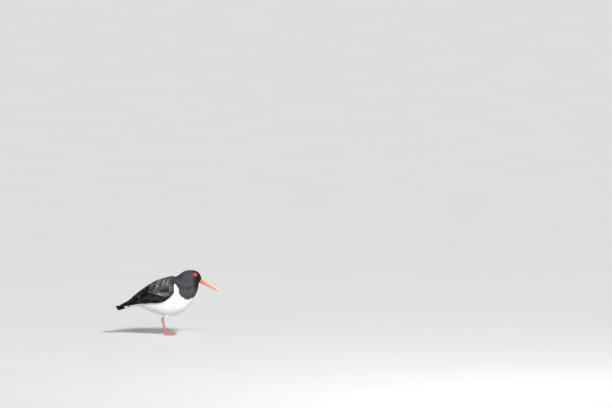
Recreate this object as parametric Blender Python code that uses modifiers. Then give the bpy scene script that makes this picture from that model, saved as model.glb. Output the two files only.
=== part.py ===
"""Life-size still model of a standing oystercatcher, a pied wading bird with a long orange bill.

Metres, +Z up. The bill points towards +X, the bird's left side is +Y, and the toes stand on Z = 0.
The trunk, neck and head are one loft that thin cuts part into nodes. The folded wings lie on a second,
wider form, the wrap, and each feather is a vane laid on that form.
"""

import math
import random
from functools import partial

import bmesh
import bpy
import numpy as np
from mathutils import Matrix, Vector

# Air between two nodes that touch
GAP = 0.0003

SIDES = ((1, "left"), (-1, "right"))

# Trunk, neck and head. Each row is one section, from the root of the tail to the base of the bill:
# back x, back z, belly x, belly z, then the half widths an eighth, a quarter and three eighths round
BODY_SECTIONS = (
    (-0.1280, 0.1105, -0.1220, 0.0975, 0.0110, 0.0140, 0.0105),
    (-0.1000, 0.1235, -0.0960, 0.0965, 0.0175, 0.0225, 0.0175),
    (-0.0700, 0.1450, -0.0640, 0.0840, 0.0285, 0.0360, 0.0300),
    (-0.0350, 0.1720, -0.0290, 0.0710, 0.0370, 0.0460, 0.0390),
    (-0.0020, 0.1930, 0.0040, 0.0645, 0.0385, 0.0495, 0.0430),
    (0.0210, 0.2010, 0.0370, 0.0715, 0.0370, 0.0500, 0.0450),
    (0.0370, 0.2070, 0.0650, 0.0890, 0.0320, 0.0460, 0.0440),
    (0.0490, 0.2160, 0.0860, 0.1160, 0.0230, 0.0370, 0.0390),
    (0.0620, 0.2235, 0.1005, 0.1430, 0.0185, 0.0280, 0.0300),
    (0.0790, 0.2265, 0.1075, 0.1640, 0.0165, 0.0215, 0.0210),
    (0.0970, 0.2245, 0.1095, 0.1780, 0.0145, 0.0180, 0.0145),
    (0.1095, 0.2170, 0.1105, 0.1815, 0.0110, 0.0140, 0.0105),
    (0.1160, 0.2075, 0.1112, 0.1828, 0.0075, 0.0100, 0.0080),
    (0.1178, 0.2000, 0.1120, 0.1840, 0.0045, 0.0064, 0.0052),
)
BODY_SIDES = 28
RINGS_A_SECTION = 3

# Thin cuts, in side view: the lower edge of the black plumage, the shoulder and the back of the head
PLUMAGE_EDGE = (
    (-0.1500, 0.1000), (-0.1100, 0.1060), (-0.0500, 0.1300), (0.0000, 0.1560), (0.0150, 0.1750),
    (0.0240, 0.1825), (0.0330, 0.1780), (0.0380, 0.1640), (0.0430, 0.1510), (0.0500, 0.1400),
    (0.0600, 0.1310), (0.0700, 0.1250), (0.0800, 0.1250), (0.0900, 0.1310), (0.1200, 0.1500),
)
SHOULDER_CUT = ((0.0200, 0.2300), (0.0290, 0.1760), (0.0300, 0.1600))
NAPE_CUT = ((0.0480, 0.2500), (0.0800, 0.1980), (0.1130, 0.1730), (0.1400, 0.1600))
BLADE_REACH = 0.09

# The form that the folded wings lie on. Each row is one upright section:
# x, top z, z where it is widest, z of the belly that it would close on, half width, lower edge z
WRAP_SECTIONS = (
    (0.0300, 0.2040, 0.1510, 0.0660, 0.0545, 0.1480),
    (0.0150, 0.2025, 0.1490, 0.0640, 0.0565, 0.1375),
    (-0.0050, 0.1985, 0.1450, 0.0640, 0.0570, 0.1265),
    (-0.0300, 0.1910, 0.1390, 0.0720, 0.0550, 0.1180),
    (-0.0600, 0.1770, 0.1310, 0.0860, 0.0480, 0.1135),
    (-0.0900, 0.1570, 0.1220, 0.0930, 0.0375, 0.1080),
    (-0.1200, 0.1340, 0.1135, 0.0960, 0.0265, 0.1030),
    (-0.1500, 0.1140, 0.1060, 0.0980, 0.0165, 0.1030),
)

# How far a surface is followed to read how it turns
SURFACE_STEP = 0.001

# The folded wing's slab: its upper edge's angle at the front and behind, with the share of the length in
# which it turns, then its depth, its ends, its sections and how deep its face lies under the wrap
WING_TOP_ANGLE = (math.radians(34), math.radians(4))
WING_TOP_RUN = 1 / 3
WING_CORE_DEPTH = (0.0110, 0.0030)
WING_CORE_X = (0.0245, -0.1180)
WING_CORE_SHARES = (0, 0.01, 0.03, 0.065, 0.11, 0.17, 0.25, 0.35, 0.47, 0.60, 0.74, 0.88, 1)
WING_CORE_SIDES = 7
CORE_LIFT = -0.0018
LOWEST_COSINE = -0.98

# The bend of the wing: how far back its round front reaches, the height of its foremost point, the share of
# its height left there and how deep it sinks
BEND_LENGTH = 0.0240
BEND_Z = 0.1560
BEND_BLUNT = 0.30
BEND_SINK = 0.0035

# A feather from root to tip: share of its length, share of its width, share of its rise from under the
# wing's surface to its own lift, share of its thickness
VANE_SECTIONS = (
    (0.00, 0.40, 0.00, 1.0), (0.34, 0.92, 0.80, 1.0), (0.72, 1.00, 1.00, 1.0),
    (0.93, 0.66, 1.00, 0.8), (1.00, 0.22, 1.00, 0.6),
)
VANE_THICKNESS = 0.0007
VANE_TILT = 0.0005
SLIM_VANE = 0.0075
ROOT_SINK = -0.0038
LENGTH_SPREAD, TURN_SPREAD, LIFT_SPREAD = 0.03, 0.008, 0.00008
WING_SEED = 5

# A block that holds all that a wing must leave to the other side
FAR_HALF = (0.5, 0.1, 0.3)

# Tiers of feathers on each wing, laid evenly from a first to a last one. A place is x and degrees round the
# wrap from the top. Each row: count, first root, last root, first tip, last tip, half width, lift over the
# wrap, and whether it is bedded on the feathers under it, which leaves no hollow, or free to its tip
BED = -0.0026
WING_TIERS = (
    # primaries
    (5, (-0.050, 80), (-0.050, 106), (-0.127, 38), (-0.150, 86), 0.0052, -0.0006, False),
    # secondaries
    (4, (-0.045, 90), (0.000, 100), (-0.106, 98), (-0.050, 107), 0.0072, -0.0002, True),
    # greater coverts
    (8, (-0.045, 66), (0.010, 88), (-0.086, 82), (-0.022, 105), 0.0056, 0.0005, True),
    # tertials
    (4, (-0.030, 16), (-0.030, 62), (-0.129, 16), (-0.098, 74), 0.0088, 0.0005, False),
    # median coverts
    (7, (-0.028, 54), (0.017, 78), (-0.058, 68), (-0.006, 96), 0.0058, 0.0013, True),
    # long scapulars
    (4, (-0.004, 12), (-0.010, 42), (-0.062, 10), (-0.086, 46), 0.0078, 0.0012, True),
    # short scapulars
    (4, (0.013, 20), (0.010, 58), (-0.026, 12), (-0.034, 58), 0.0080, 0.0020, True),
)

# Bill: its base on the face, how far it reaches into the head, and the slits of the nostrils
BILL_BASE = Vector((0.1145, 0.0, 0.1895))
BILL_PITCH = math.radians(27.8)
BILL_LENGTH = 0.0752
BILL_ROOT = 0.0060
BILL_FULLNESS = 0.8
NOSTRIL_X, NOSTRIL_Y, NOSTRIL_Z = 0.0150, 0.0046, 0.0026
NOSTRIL_SIZE = (0.0052, 0.0012, 0.0010)

# Eyes, with the bare rims of the lids as a ring round each
EYE_X, EYE_Z = 0.0972, 0.2122
EYE_RADIUS = 0.0062
EYE_DEPTH = 0.0043
EYE_TURN = 0.6
PUPIL_RADIUS = 0.0021
PUPIL_DEPTH, PUPIL_OVER = 0.0016, 0.0020
RING_RADIUS, RING_TUBE = 0.0056, 0.0009
RING_SINK = 0.0004

# Tail: its upper face, then its flesh's depth at the root and behind, and how deep the flesh sinks under the
# feathers
TAIL_ROOT_X, TAIL_TIP_X = -0.1240, -0.1810
TAIL_ROOT_Z, TAIL_TIP_Z = 0.1045, 0.0990
TAIL_HALF_WIDTH = (0.0125, 0.0225)
TAIL_ROOF = 0.0122
TAIL_ROUNDING = 0.0040
TAIL_DEPTH = (0.0050, 0.0016)
TAIL_COVER = -0.0006

# Half of the tail's feathers, from the middle one outwards
TAIL_FEATHERS = 6
TAIL_ROOT_SHARE = 0.02
TAIL_FAN = (0.60, 0.86)
TAIL_VANE_HALF_WIDTH = 0.0052
TAIL_STEP = 0.00045
TAIL_SHORTENING = 0.018
TAIL_WEDGE_REACH, TAIL_WEDGE_SPAN = 0.7, 0.9
TAIL_WEDGE_RINGS = 6

# Legs and feet
LEG_Y = 0.0240
FOOT_X = -0.0070
HEEL = (-0.0170, 0.0530)
THIGH_TOP, THIGH_TOP_Y = (0.0080, 0.0900), 0.0216
THIGH_END = (-0.0080, 0.0600)
THIGH_RADII = (0.0165, 0.0125, 0.0052)

# The bare leg's radius along its run to the heel, and from there to the foot
UPPER_SHANK = ((0.03, 0.0026), (0.55, 0.0030), (1.0, 0.0040))
LOWER_SHANK = ((0.10, 0.0037), (0.22, 0.0026), (0.60, 0.0024), (0.88, 0.0029), (1.0, 0.0033))
TOES = (("inner", -0.60, 0.0270), ("middle", -0.05, 0.0345), ("outer", 0.50, 0.0300))
TOE_PROFILE = (
    # share of the length, share of the radius: thick over the pads, thin over the joints
    (0.0, 1.0), (0.22, 0.80), (0.34, 0.98), (0.50, 0.76),
    (0.64, 0.92), (0.80, 0.72), (0.92, 0.80), (1.0, 0.42),
)
TOE_RADIUS, TOE_TAPER = 0.0030, 0.25
TOE_Z, TOE_FALL = 0.0024, 0.0004
PAD_SIZE, PAD_RISE = (0.0050, 0.0046, 0.0036), 0.0008
WEB_REACH, WEB_Z = 0.30, (0.0012, 0.0026)
ANKLE_Z = 0.0068
CLAW_LENGTH = 0.0055
# share of the length, rise, radius
CLAW_PROFILE = ((0.0, 0.0, 0.0009), (0.5, 0.0002, 0.0008), (1.0, -0.0008, 0.0002))


def spline(knots, values):
    """A function that reads a natural cubic through the values, one column at a time."""
    knots, values = np.asarray(knots, float), np.asarray(values, float)
    step = np.diff(knots)
    count = len(knots)
    system = np.eye(count)
    right = np.zeros(values.shape)
    for i in range(1, count - 1):
        system[i, i - 1 : i + 2] = step[i - 1], 2 * (step[i - 1] + step[i]), step[i]
        right[i] = 6 * ((values[i + 1] - values[i]) / step[i] - (values[i] - values[i - 1]) / step[i - 1])
    bend = np.linalg.solve(system, right)

    def read(at):
        i = int(np.clip(np.searchsorted(knots, at) - 1, 0, count - 2))
        a, b = (knots[i + 1] - at) / step[i], (at - knots[i]) / step[i]
        curve = ((a**3 - a) * bend[i] + (b**3 - b) * bend[i + 1]) * step[i] ** 2 / 6
        return a * values[i] + b * values[i + 1] + curve

    return read


def clear_scene():
    for obj in list(bpy.data.objects):
        bpy.data.objects.remove(obj)


def new_collection(name):
    collection = bpy.data.collections.new(name)
    bpy.context.scene.collection.children.link(collection)
    return collection


def new_material(name, colour, roughness):
    material = bpy.data.materials.new(name)
    material.use_nodes = True
    shader = material.node_tree.nodes["Principled BSDF"]
    shader.inputs["Base Color"].default_value = (*colour, 1.0)
    shader.inputs["Roughness"].default_value = roughness
    shader.inputs["Metallic"].default_value = 0.0
    return material


def mesh_object(name, shape, collection):
    """An object from a bmesh, which is freed."""
    mesh = bpy.data.meshes.new(name)
    bmesh.ops.recalc_face_normals(shape, faces=shape.faces)
    shape.to_mesh(mesh)
    shape.free()
    obj = bpy.data.objects.new(name, mesh)
    collection.objects.link(obj)
    return obj


def loft(name, rings, collection):
    """A closed skin of triangles over rings that all have the same number of points. The second half of each
    ring is split as the mirror image of the first, so that both faces of a thin form bend alike."""
    shape = bmesh.new()
    rows = [[shape.verts.new(point) for point in ring] for ring in rings]
    sides = len(rows[0])
    for first, second in zip(rows, rows[1:]):
        for i in range(sides):
            j = (i + 1) % sides
            if i < sides / 2:
                shape.faces.new((first[i], first[j], second[j]))
                shape.faces.new((first[i], second[j], second[i]))
            else:
                shape.faces.new((first[i], first[j], second[i]))
                shape.faces.new((first[j], second[j], second[i]))
    ends = [shape.faces.new(rows[0][::-1]), shape.faces.new(rows[-1])]
    bmesh.ops.triangulate(shape, faces=ends)
    return mesh_object(name, shape, collection)


def evaluated_mesh(obj):
    bpy.context.view_layer.update()
    graph = bpy.context.evaluated_depsgraph_get()
    return bpy.data.meshes.new_from_object(obj.evaluated_get(graph))


def settle(obj):
    """Applies an object's modifiers and its place to its mesh."""
    mesh = evaluated_mesh(obj)
    mesh.transform(obj.matrix_world)
    obj.modifiers.clear()
    obj.data = mesh
    obj.matrix_world = Matrix.Identity(4)


def shells(mesh):
    """The closed surfaces of a mesh, each as (volume, its bmesh), largest first."""
    whole = bmesh.new()
    whole.from_mesh(mesh)
    found, seen = [], set()
    for start in whole.faces:
        if start in seen:
            continue
        group, front = {start}, [start]
        while front:
            for edge in front.pop().edges:
                for face in edge.link_faces:
                    if face not in group:
                        group.add(face)
                        front.append(face)
        seen |= group
        part = whole.copy()
        part.faces.ensure_lookup_table()
        keep = {face.index for face in group}
        bmesh.ops.delete(part, geom=[f for f in part.faces if f.index not in keep], context="FACES")
        found.append((part.calc_volume(), part))
    whole.free()
    return sorted(found, key=lambda pair: -pair[0])


def keep_largest(obj):
    """Drops all but the largest closed surface of an object."""
    found = shells(obj.data)
    found[0][1].to_mesh(obj.data)
    for _, part in found:
        part.free()


def combine(obj, others, operation, solver="EXACT"):
    """A Boolean with a collection of closed meshes, applied, with the collection's objects removed."""
    group = bpy.data.collections.new("operands")
    bpy.context.scene.collection.children.link(group)
    for other in others:
        for owner in list(other.users_collection):
            owner.objects.unlink(other)
        group.objects.link(other)
    boolean = obj.modifiers.new(operation.lower(), "BOOLEAN")
    boolean.operation = operation
    boolean.solver = solver
    boolean.operand_type = "COLLECTION"
    boolean.collection = group
    settle(obj)
    for other in list(group.objects):
        bpy.data.objects.remove(other)
    bpy.data.collections.remove(group)


def grown_copy(obj, amount, collection):
    """A copy of a closed mesh, each point moved out along its normal."""
    copy = bpy.data.objects.new(obj.name + "_grown", obj.data.copy())
    collection.objects.link(copy)
    for vertex, normal in zip(copy.data.vertices, [v.normal.copy() for v in obj.data.vertices]):
        vertex.co += normal * amount
    copy.hide_render = True
    copy.display_type = "WIRE"
    return copy


def clear_of(obj, blockers, collection, solver="EXACT"):
    """Cuts an object back so that it meets each blocker face to face, a gap away."""
    cutters = [grown_copy(blocker, GAP, collection) for blocker in blockers]
    combine(obj, cutters, "DIFFERENCE", solver)
    keep_largest(obj)


def split(obj, line, names, collection):
    """Parts an object along a line drawn in side view, with a cut as wide as the gap. Upper part first."""
    shape = bmesh.new()
    near = [shape.verts.new((x, -BLADE_REACH, z)) for x, z in line]
    far = [shape.verts.new((x, BLADE_REACH, z)) for x, z in line]
    for i in range(len(line) - 1):
        shape.faces.new((near[i], near[i + 1], far[i + 1], far[i]))
    blade = mesh_object("blade", shape, collection)
    thickness = blade.modifiers.new("thickness", "SOLIDIFY")
    thickness.thickness = GAP
    thickness.offset = 0.0
    settle(blade)
    combine(obj, [blade], "DIFFERENCE")
    parts = shells(obj.data)[:2]
    parts.sort(key=lambda pair: -sum(v.co.z for v in pair[1].verts) / len(pair[1].verts))
    made = []
    for name, (_, part) in zip(names, parts):
        made.append(mesh_object(name, part, collection))
    bpy.data.objects.remove(obj)
    return made


def body_ring(section, sides):
    """One closed section. Round the half from back to belly, the half width is sine times a quadratic in
    cosine, which meets the three half widths of the row."""
    back, belly = Vector((section[0], 0, section[1])), Vector((section[2], 0, section[3]))
    upper, middle, lower = section[4:7]
    centre, spine = (back + belly) / 2, (back - belly) / 2
    tilt, bulge = upper - lower, (upper + lower) * math.sqrt(2) - 2 * middle
    ring = []
    for i in range(sides):
        angle = 2 * math.pi * i / sides
        along = math.cos(angle)
        width = math.sin(angle) * (middle + tilt * along + bulge * along * along)
        ring.append(centre + spine * along + Vector((0, -width, 0)))
    return ring


def build_body(collection):
    read = spline(range(len(BODY_SECTIONS)), BODY_SECTIONS)
    count = (len(BODY_SECTIONS) - 1) * RINGS_A_SECTION
    rings = [body_ring(read(i / RINGS_A_SECTION), BODY_SIDES) for i in range(count + 1)]
    return loft("body", rings, collection)


read_wrap = spline([-row[0] for row in WRAP_SECTIONS], WRAP_SECTIONS)


def wrap_point(x, angle, side):
    """A point of the wrap at x, turned by angle from the top towards one side: a quarter ellipse over the
    widest height and another below it."""
    _, top, widest, bottom, width, _ = read_wrap(-x)
    rise = top - widest if math.cos(angle) > 0 else widest - bottom
    return Vector((x, side * width * math.sin(angle), widest + rise * math.cos(angle)))


def surface_frame(surface, u, v, facing):
    """A surface's point, how it moves with u and with v, and its normal, turned over where facing is -1."""
    step = SURFACE_STEP
    along = (surface(u + step, v) - surface(u - step, v)) / (2 * step)
    around = (surface(u, v + step) - surface(u, v - step)) / (2 * step)
    return surface(u, v), along, around, (along.cross(around) * facing).normalized()


def moved(surface, u, v, along, around, shift):
    """The surface's point a given shift away, from the changes of u and v that come nearest to that shift."""
    a, b, c = along.dot(along), along.dot(around), around.dot(around)
    right_u, right_v = along.dot(shift), around.dot(shift)
    determinant = a * c - b * b
    du = (c * right_u - b * right_v) / determinant
    dv = (a * right_v - b * right_u) / determinant
    return surface(u + du, v + dv)


def vane(surface, facing, outer, root, tip, half_width, lift, bed, collection):
    """One feather on a surface. Its middle line runs from root to tip in u and v, its root lies under the
    surface, and its outer edge stands higher than its inner one, so that it laps over the next feather. Its
    underside is no higher than the bed."""
    edges = (-1, 1) if half_width < SLIM_VANE else (-1, 0, 1)
    rings = []
    for share, width, rise, thick in VANE_SECTIONS:
        u, v = (r + (t - r) * share for r, t in zip(root, tip))
        _, along, around, normal = surface_frame(surface, u, v, facing)
        forward = (along * (tip[0] - root[0]) + around * (tip[1] - root[1])).normalized()
        across = normal.cross(forward)
        if across.dot(around) * outer < 0:
            across.negate()
        height = ROOT_SINK + (lift - ROOT_SINK) * rise
        upper, lower = [], []
        for edge in edges:
            skin = moved(surface, u, v, along, around, across * (edge * half_width * width))
            top = height + edge * VANE_TILT * width
            upper.append(skin + normal * top)
            lower.append(skin + normal * min(top - VANE_THICKNESS * thick, bed))
        rings.append(upper + lower[::-1])
    return loft("vane", rings, collection)


def lower_angle(x):
    """The angle at which the wrap reaches the wing's lower edge."""
    _, _, widest, bottom, _, edge = read_wrap(-x)
    return math.acos(max(LOWEST_COSINE, (edge - widest) / (widest - bottom)))


def angle_at(x, z):
    """The angle at which the wrap reaches a height."""
    _, top, widest, bottom, _, _ = read_wrap(-x)
    rise = top - widest if z > widest else widest - bottom
    return math.acos(min(1.0, max(-1.0, (z - widest) / rise)))


def wing_edges(x, share):
    """The wing's upper and lower angle, and how far round its bend x is: 1 at the foremost point, where both
    angles close in on one height as a quarter ellipse."""
    top = WING_TOP_ANGLE[0] + (WING_TOP_ANGLE[1] - WING_TOP_ANGLE[0]) * min(1, share / WING_TOP_RUN)
    low = lower_angle(x)
    ahead = max(0.0, 1 - (WING_CORE_X[0] - x) / BEND_LENGTH)
    spread = BEND_BLUNT + (1 - BEND_BLUNT) * math.sqrt(1 - ahead * ahead)
    middle = angle_at(x, BEND_Z)
    return middle + (top - middle) * spread, middle + (low - middle) * spread, ahead


def wing_core(name, side, collection):
    """The folded wing without its vanes: a curved slab that thins towards the tip."""
    rings = []
    for share in WING_CORE_SHARES:
        x = WING_CORE_X[0] + (WING_CORE_X[1] - WING_CORE_X[0]) * share
        top, low, ahead = wing_edges(x, share)
        depth = WING_CORE_DEPTH[0] + (WING_CORE_DEPTH[1] - WING_CORE_DEPTH[0]) * share
        outer, inner = [], []
        for j in range(WING_CORE_SIDES):
            angle = top + (low - top) * j / (WING_CORE_SIDES - 1)
            skin, _, _, normal = surface_frame(partial(wrap_point, side=side), x, angle, side)
            outer.append(skin + normal * (CORE_LIFT - BEND_SINK * ahead * ahead))
            inner.append(skin - normal * depth)
        rings.append(outer + inner[::-1])
    return loft(name, rings, collection)


def wing_vanes(side, collection):
    """Every feather of a wing, tier by tier. The same seed on both sides keeps the two wings alike."""
    draw = random.Random(WING_SEED)
    wrap = partial(wrap_point, side=side)
    made = []
    for count, first_root, last_root, first_tip, last_tip, half_width, lift, bedded in WING_TIERS:
        for i in range(count):
            share = i / (count - 1)
            root = [a + (b - a) * share for a, b in zip(first_root, last_root)]
            tip = [a + (b - a) * share for a, b in zip(first_tip, last_tip)]
            root[1], tip[1] = math.radians(root[1]), math.radians(tip[1])
            tip[0] += (tip[0] - root[0]) * draw.uniform(-LENGTH_SPREAD, LENGTH_SPREAD)
            tip[1] += draw.uniform(-TURN_SPREAD, TURN_SPREAD)
            high = lift + draw.uniform(-LIFT_SPREAD, LIFT_SPREAD)
            bed = BED if bedded else math.inf
            made.append(vane(wrap, side, 1, root, tip, half_width, high, bed, collection))
    return made


def cut_plane(obj, point, normal):
    """Cuts away what lies beyond a plane and closes the cut."""
    shape = bmesh.new()
    shape.from_mesh(obj.data)
    everything = list(shape.verts) + list(shape.edges) + list(shape.faces)
    cut = bmesh.ops.bisect_plane(
        shape, geom=everything, dist=1e-7, plane_co=point, plane_no=normal, clear_outer=True
    )
    edges = [e for e in cut["geom_cut"] if isinstance(e, bmesh.types.BMEdge)]
    bmesh.ops.holes_fill(shape, edges=edges, sides=0)
    shape.to_mesh(obj.data)
    shape.free()


def build_wing(side, word, blockers, collection):
    """Core and feathers as one, kept to its own side of the middle and clear of body and tail."""
    wing = wing_core("wing_" + word, side, collection)
    combine(wing, wing_vanes(side, collection), "UNION", "MANIFOLD")
    keep_largest(wing)
    shape = bmesh.new()
    middle = Vector((0, side * (GAP - FAR_HALF[1]) / 2, FAR_HALF[2] / 2))
    bmesh.ops.create_cube(shape, size=1, matrix=Matrix.Translation(middle) @ Matrix.Diagonal((*FAR_HALF, 1)))
    combine(wing, [mesh_object("far_half", shape, collection)], "DIFFERENCE", "MANIFOLD")
    clear_of(wing, blockers, collection, "MANIFOLD")
    return wing


def tail_point(share, across):
    """A point on the tail's upper face, which slopes down to the tip and falls away at both sides."""
    x = TAIL_ROOT_X + (TAIL_TIP_X - TAIL_ROOT_X) * share
    z = TAIL_ROOT_Z + (TAIL_TIP_Z - TAIL_ROOT_Z) * share
    half = TAIL_HALF_WIDTH[0] + (TAIL_HALF_WIDTH[1] - TAIL_HALF_WIDTH[0]) * math.sin(share * math.pi / 2)
    away = share * across * across
    return Vector((x + TAIL_ROUNDING * away, half * across, z - TAIL_ROOF * away))


def tail_wedge(collection):
    """The tail's flesh and the coverts under it: a wedge with a level underside, thin at its rear end. Its
    upper face sinks under the feathers soon behind the root."""
    rings = []
    for i in range(TAIL_WEDGE_RINGS + 1):
        taper = i / TAIL_WEDGE_RINGS
        share = TAIL_WEDGE_REACH * taper
        above = TAIL_COVER + (TAIL_DEPTH[0] - TAIL_COVER) * (1 - taper) ** 3
        below = TAIL_DEPTH[1] + (TAIL_DEPTH[0] - TAIL_DEPTH[1]) * (1 - taper) ** 2
        fill = TAIL_ROOF * share * (1 - taper**2)
        places = [TAIL_WEDGE_SPAN * a for a in (-1, -0.5, 0, 0.5, 1)]
        upper = [tail_point(share, a) + Vector((0, 0, above)) for a in places]
        lower = [tail_point(share, a) - Vector((0, 0, below + fill * (1 - a * a))) for a in places[::-1]]
        rings.append(upper + lower)
    return loft("tail", rings, collection)


def build_tail(blockers, collection):
    """A wedge with two halves of six feathers. The middle pair lies on top and the rest step down."""
    tail = tail_wedge(collection)
    vanes = []
    for side in (1, -1):
        for i in range(TAIL_FEATHERS):
            place = (i + 0.5) / TAIL_FEATHERS
            root = (TAIL_ROOT_SHARE, side * place * TAIL_FAN[0])
            tip = (1.0 - TAIL_SHORTENING * i * place, side * place * TAIL_FAN[1])
            lift = TAIL_DEPTH[1] - TAIL_STEP * (i + 0.5 * (side < 0))
            half_width = TAIL_VANE_HALF_WIDTH
            vanes.append(vane(tail_point, -1, side, root, tip, half_width, lift, math.inf, collection))
    combine(tail, vanes, "UNION", "MANIFOLD")
    keep_largest(tail)
    clear_of(tail, blockers, collection, "MANIFOLD")
    return tail


BILL_UPPER = (
    # share of the length, half width, height above the mouth line
    (0.00, 0.0056, 0.0080), (0.12, 0.0048, 0.0071), (0.30, 0.0037, 0.0056), (0.50, 0.0028, 0.0045),
    (0.70, 0.0021, 0.0036), (0.86, 0.0015, 0.0029), (0.96, 0.0010, 0.0023), (1.00, 0.0007, 0.0016),
)
BILL_LOWER = (
    (0.00, 0.0054, 0.0068), (0.12, 0.0047, 0.0062), (0.30, 0.0036, 0.0053), (0.50, 0.0027, 0.0047),
    (0.70, 0.0020, 0.0035), (0.86, 0.0014, 0.0025), (0.96, 0.0009, 0.0017), (1.00, 0.0006, 0.0011),
)
BILL_ARC = 9


def mandible(name, rows, direction, collection):
    """Half a bill along +X: each section is a half oval on the mouth line, a gap away from the other half."""
    first = (-BILL_ROOT / BILL_LENGTH, *rows[0][1:])
    rings = []
    for share, width, height in (first, *rows):
        x = share * BILL_LENGTH
        arc = []
        for i in range(BILL_ARC):
            angle = math.pi * i / (BILL_ARC - 1)
            z = direction * (GAP / 2 + height * math.sin(angle) ** BILL_FULLNESS)
            arc.append(Vector((x, width * math.cos(angle), z)))
        rings.append(arc)
    obj = loft(name, rings, collection)
    obj.matrix_world = Matrix.Translation(BILL_BASE) @ Matrix.Rotation(BILL_PITCH, 4, "Y")
    return obj


def build_bill(head, collection):
    """Both halves, with a slit through each side of the upper one for a nostril."""
    upper = mandible("bill_upper", BILL_UPPER, 1, collection)
    slits = []
    for side in (-1, 1):
        shape = bmesh.new()
        place = Matrix.Translation((NOSTRIL_X, side * NOSTRIL_Y, NOSTRIL_Z))
        place @= Matrix.Diagonal((*NOSTRIL_SIZE, 1))
        bmesh.ops.create_uvsphere(shape, u_segments=10, v_segments=6, radius=1, matrix=place)
        slit = mesh_object("nostril_cutter", shape, collection)
        slit.matrix_world = upper.matrix_world
        settle(slit)
        slits.append(slit)
    settle(upper)
    combine(upper, slits, "DIFFERENCE")
    lower = mandible("bill_lower", BILL_LOWER, -1, collection)
    settle(lower)
    clear_of(upper, [head], collection)
    clear_of(lower, [head], collection)
    return upper, lower


def eye_frame(body, side):
    """Where the head's surface carries the eye, turned to look out between sideways and that surface's
    normal."""
    outwards = Vector((0, side, 0))
    _, skin, normal, _ = body.ray_cast(Vector((EYE_X, side * BLADE_REACH, EYE_Z)), -outwards)
    gaze = outwards.lerp(normal, EYE_TURN).normalized()
    return Matrix.Translation(skin) @ gaze.to_track_quat("Z", "Y").to_matrix().to_4x4()


def build_eye(word, frame, head, collection):
    """A ball sunk in the head, a plug let into its front for the pupil, and the rims of the lids round it."""
    shape = bmesh.new()
    place = frame @ Matrix.Translation((0, 0, -EYE_DEPTH))
    bmesh.ops.create_uvsphere(shape, u_segments=16, v_segments=8, radius=EYE_RADIUS, matrix=place)
    eye = mesh_object("eye_" + word, shape, collection)
    bpy.ops.mesh.primitive_torus_add(
        major_radius=RING_RADIUS, minor_radius=RING_TUBE, major_segments=20, minor_segments=5
    )
    ring = bpy.context.active_object
    ring.name = "eyelids_" + word
    for owner in list(ring.users_collection):
        owner.objects.unlink(ring)
    collection.objects.link(ring)
    ring.matrix_world = frame @ Matrix.Translation((0, 0, -RING_SINK))
    settle(ring)
    clear_of(ring, [eye], collection)
    clear_of(head, [eye, ring], collection)
    pupil = build_pupil("pupil_" + word, eye, frame, collection)
    return eye, ring, pupil


def tube(name, points, radii, collection):
    """A round bar through the points, with its own radius at each and closed ends."""
    curve = bpy.data.curves.new(name, "CURVE")
    curve.dimensions = "3D"
    curve.bevel_depth = 1.0
    curve.bevel_resolution = 2
    curve.use_fill_caps = True
    line = curve.splines.new("POLY")
    line.points.add(len(points) - 1)
    for knot, point, radius in zip(line.points, points, radii):
        knot.co = (*point, 1)
        knot.radius = radius
    bar = bpy.data.objects.new(name + "_line", curve)
    collection.objects.link(bar)
    mesh = evaluated_mesh(bar)
    bpy.data.objects.remove(bar)
    shape = bmesh.new()
    shape.from_mesh(mesh)
    bmesh.ops.remove_doubles(shape, verts=shape.verts, dist=1e-6)
    return mesh_object(name, shape, collection)


def build_thigh(side, word, body, collection):
    """The feathered part of the leg that shows under the belly."""
    top = Vector((THIGH_TOP[0], side * THIGH_TOP_Y, THIGH_TOP[1]))
    end = Vector((THIGH_END[0], side * LEG_Y, THIGH_END[1]))
    thigh = tube("thigh_" + word, [top, top.lerp(end, 0.5), end], THIGH_RADII, collection)
    clear_of(thigh, [body], collection)
    return thigh


def build_shank(side, word, thigh, collection):
    """The bare leg: a short run back to the heel, then down to the foot."""
    y = side * LEG_Y
    end, heel = Vector((THIGH_END[0], y, THIGH_END[1])), Vector((HEEL[0], y, HEEL[1]))
    ankle = Vector((FOOT_X, y, ANKLE_Z + GAP))
    line = [end.lerp(heel, share) for share, _ in UPPER_SHANK]
    line += [heel.lerp(ankle, share) for share, _ in LOWER_SHANK]
    radii = [radius for _, radius in (*UPPER_SHANK, *LOWER_SHANK)]
    shank = tube("shank_" + word, line, radii, collection)
    clear_of(shank, [thigh], collection)
    return shank


def build_foot(side, word, shank, collection):
    """Three toes from one pad, with flats on the floor, and a short web between the outer two."""
    root = Vector((FOOT_X, side * LEG_Y, TOE_Z))
    shape = bmesh.new()
    place = Matrix.Translation(root + Vector((0, 0, PAD_RISE))) @ Matrix.Diagonal((*PAD_SIZE, 1))
    bmesh.ops.create_uvsphere(shape, u_segments=12, v_segments=8, radius=1, matrix=place)
    foot = mesh_object("foot_" + word, shape, collection)
    toes, claws, corners = [], [], [root]
    for toe, turn, length in TOES:
        direction = Vector((math.cos(turn), side * math.sin(turn), 0))
        reach = direction * length - Vector((0, 0, TOE_FALL))
        points = [root + reach * share for share, _ in TOE_PROFILE]
        radii = [TOE_RADIUS * width * (1 - TOE_TAPER * share) for share, width in TOE_PROFILE]
        toes.append(tube("toe", points, radii, collection))
        start = points[-1] + direction * GAP
        claw_line = [start + direction * CLAW_LENGTH * s + Vector((0, 0, z)) for s, z, _ in CLAW_PROFILE]
        claws.append(tube(f"claw_{toe}_{word}", claw_line, [r for _, _, r in CLAW_PROFILE], collection))
        if toe != "inner":
            corners.append(root + direction * length * WEB_REACH)
    web = loft("web", [[Vector((c.x, c.y, z)) for c in corners] for z in WEB_Z], collection)
    combine(foot, [*toes, web], "UNION")
    keep_largest(foot)
    cut_plane(foot, (0, 0, 0), (0, 0, -1))
    clear_of(foot, [shank], collection)
    return foot, claws


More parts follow.
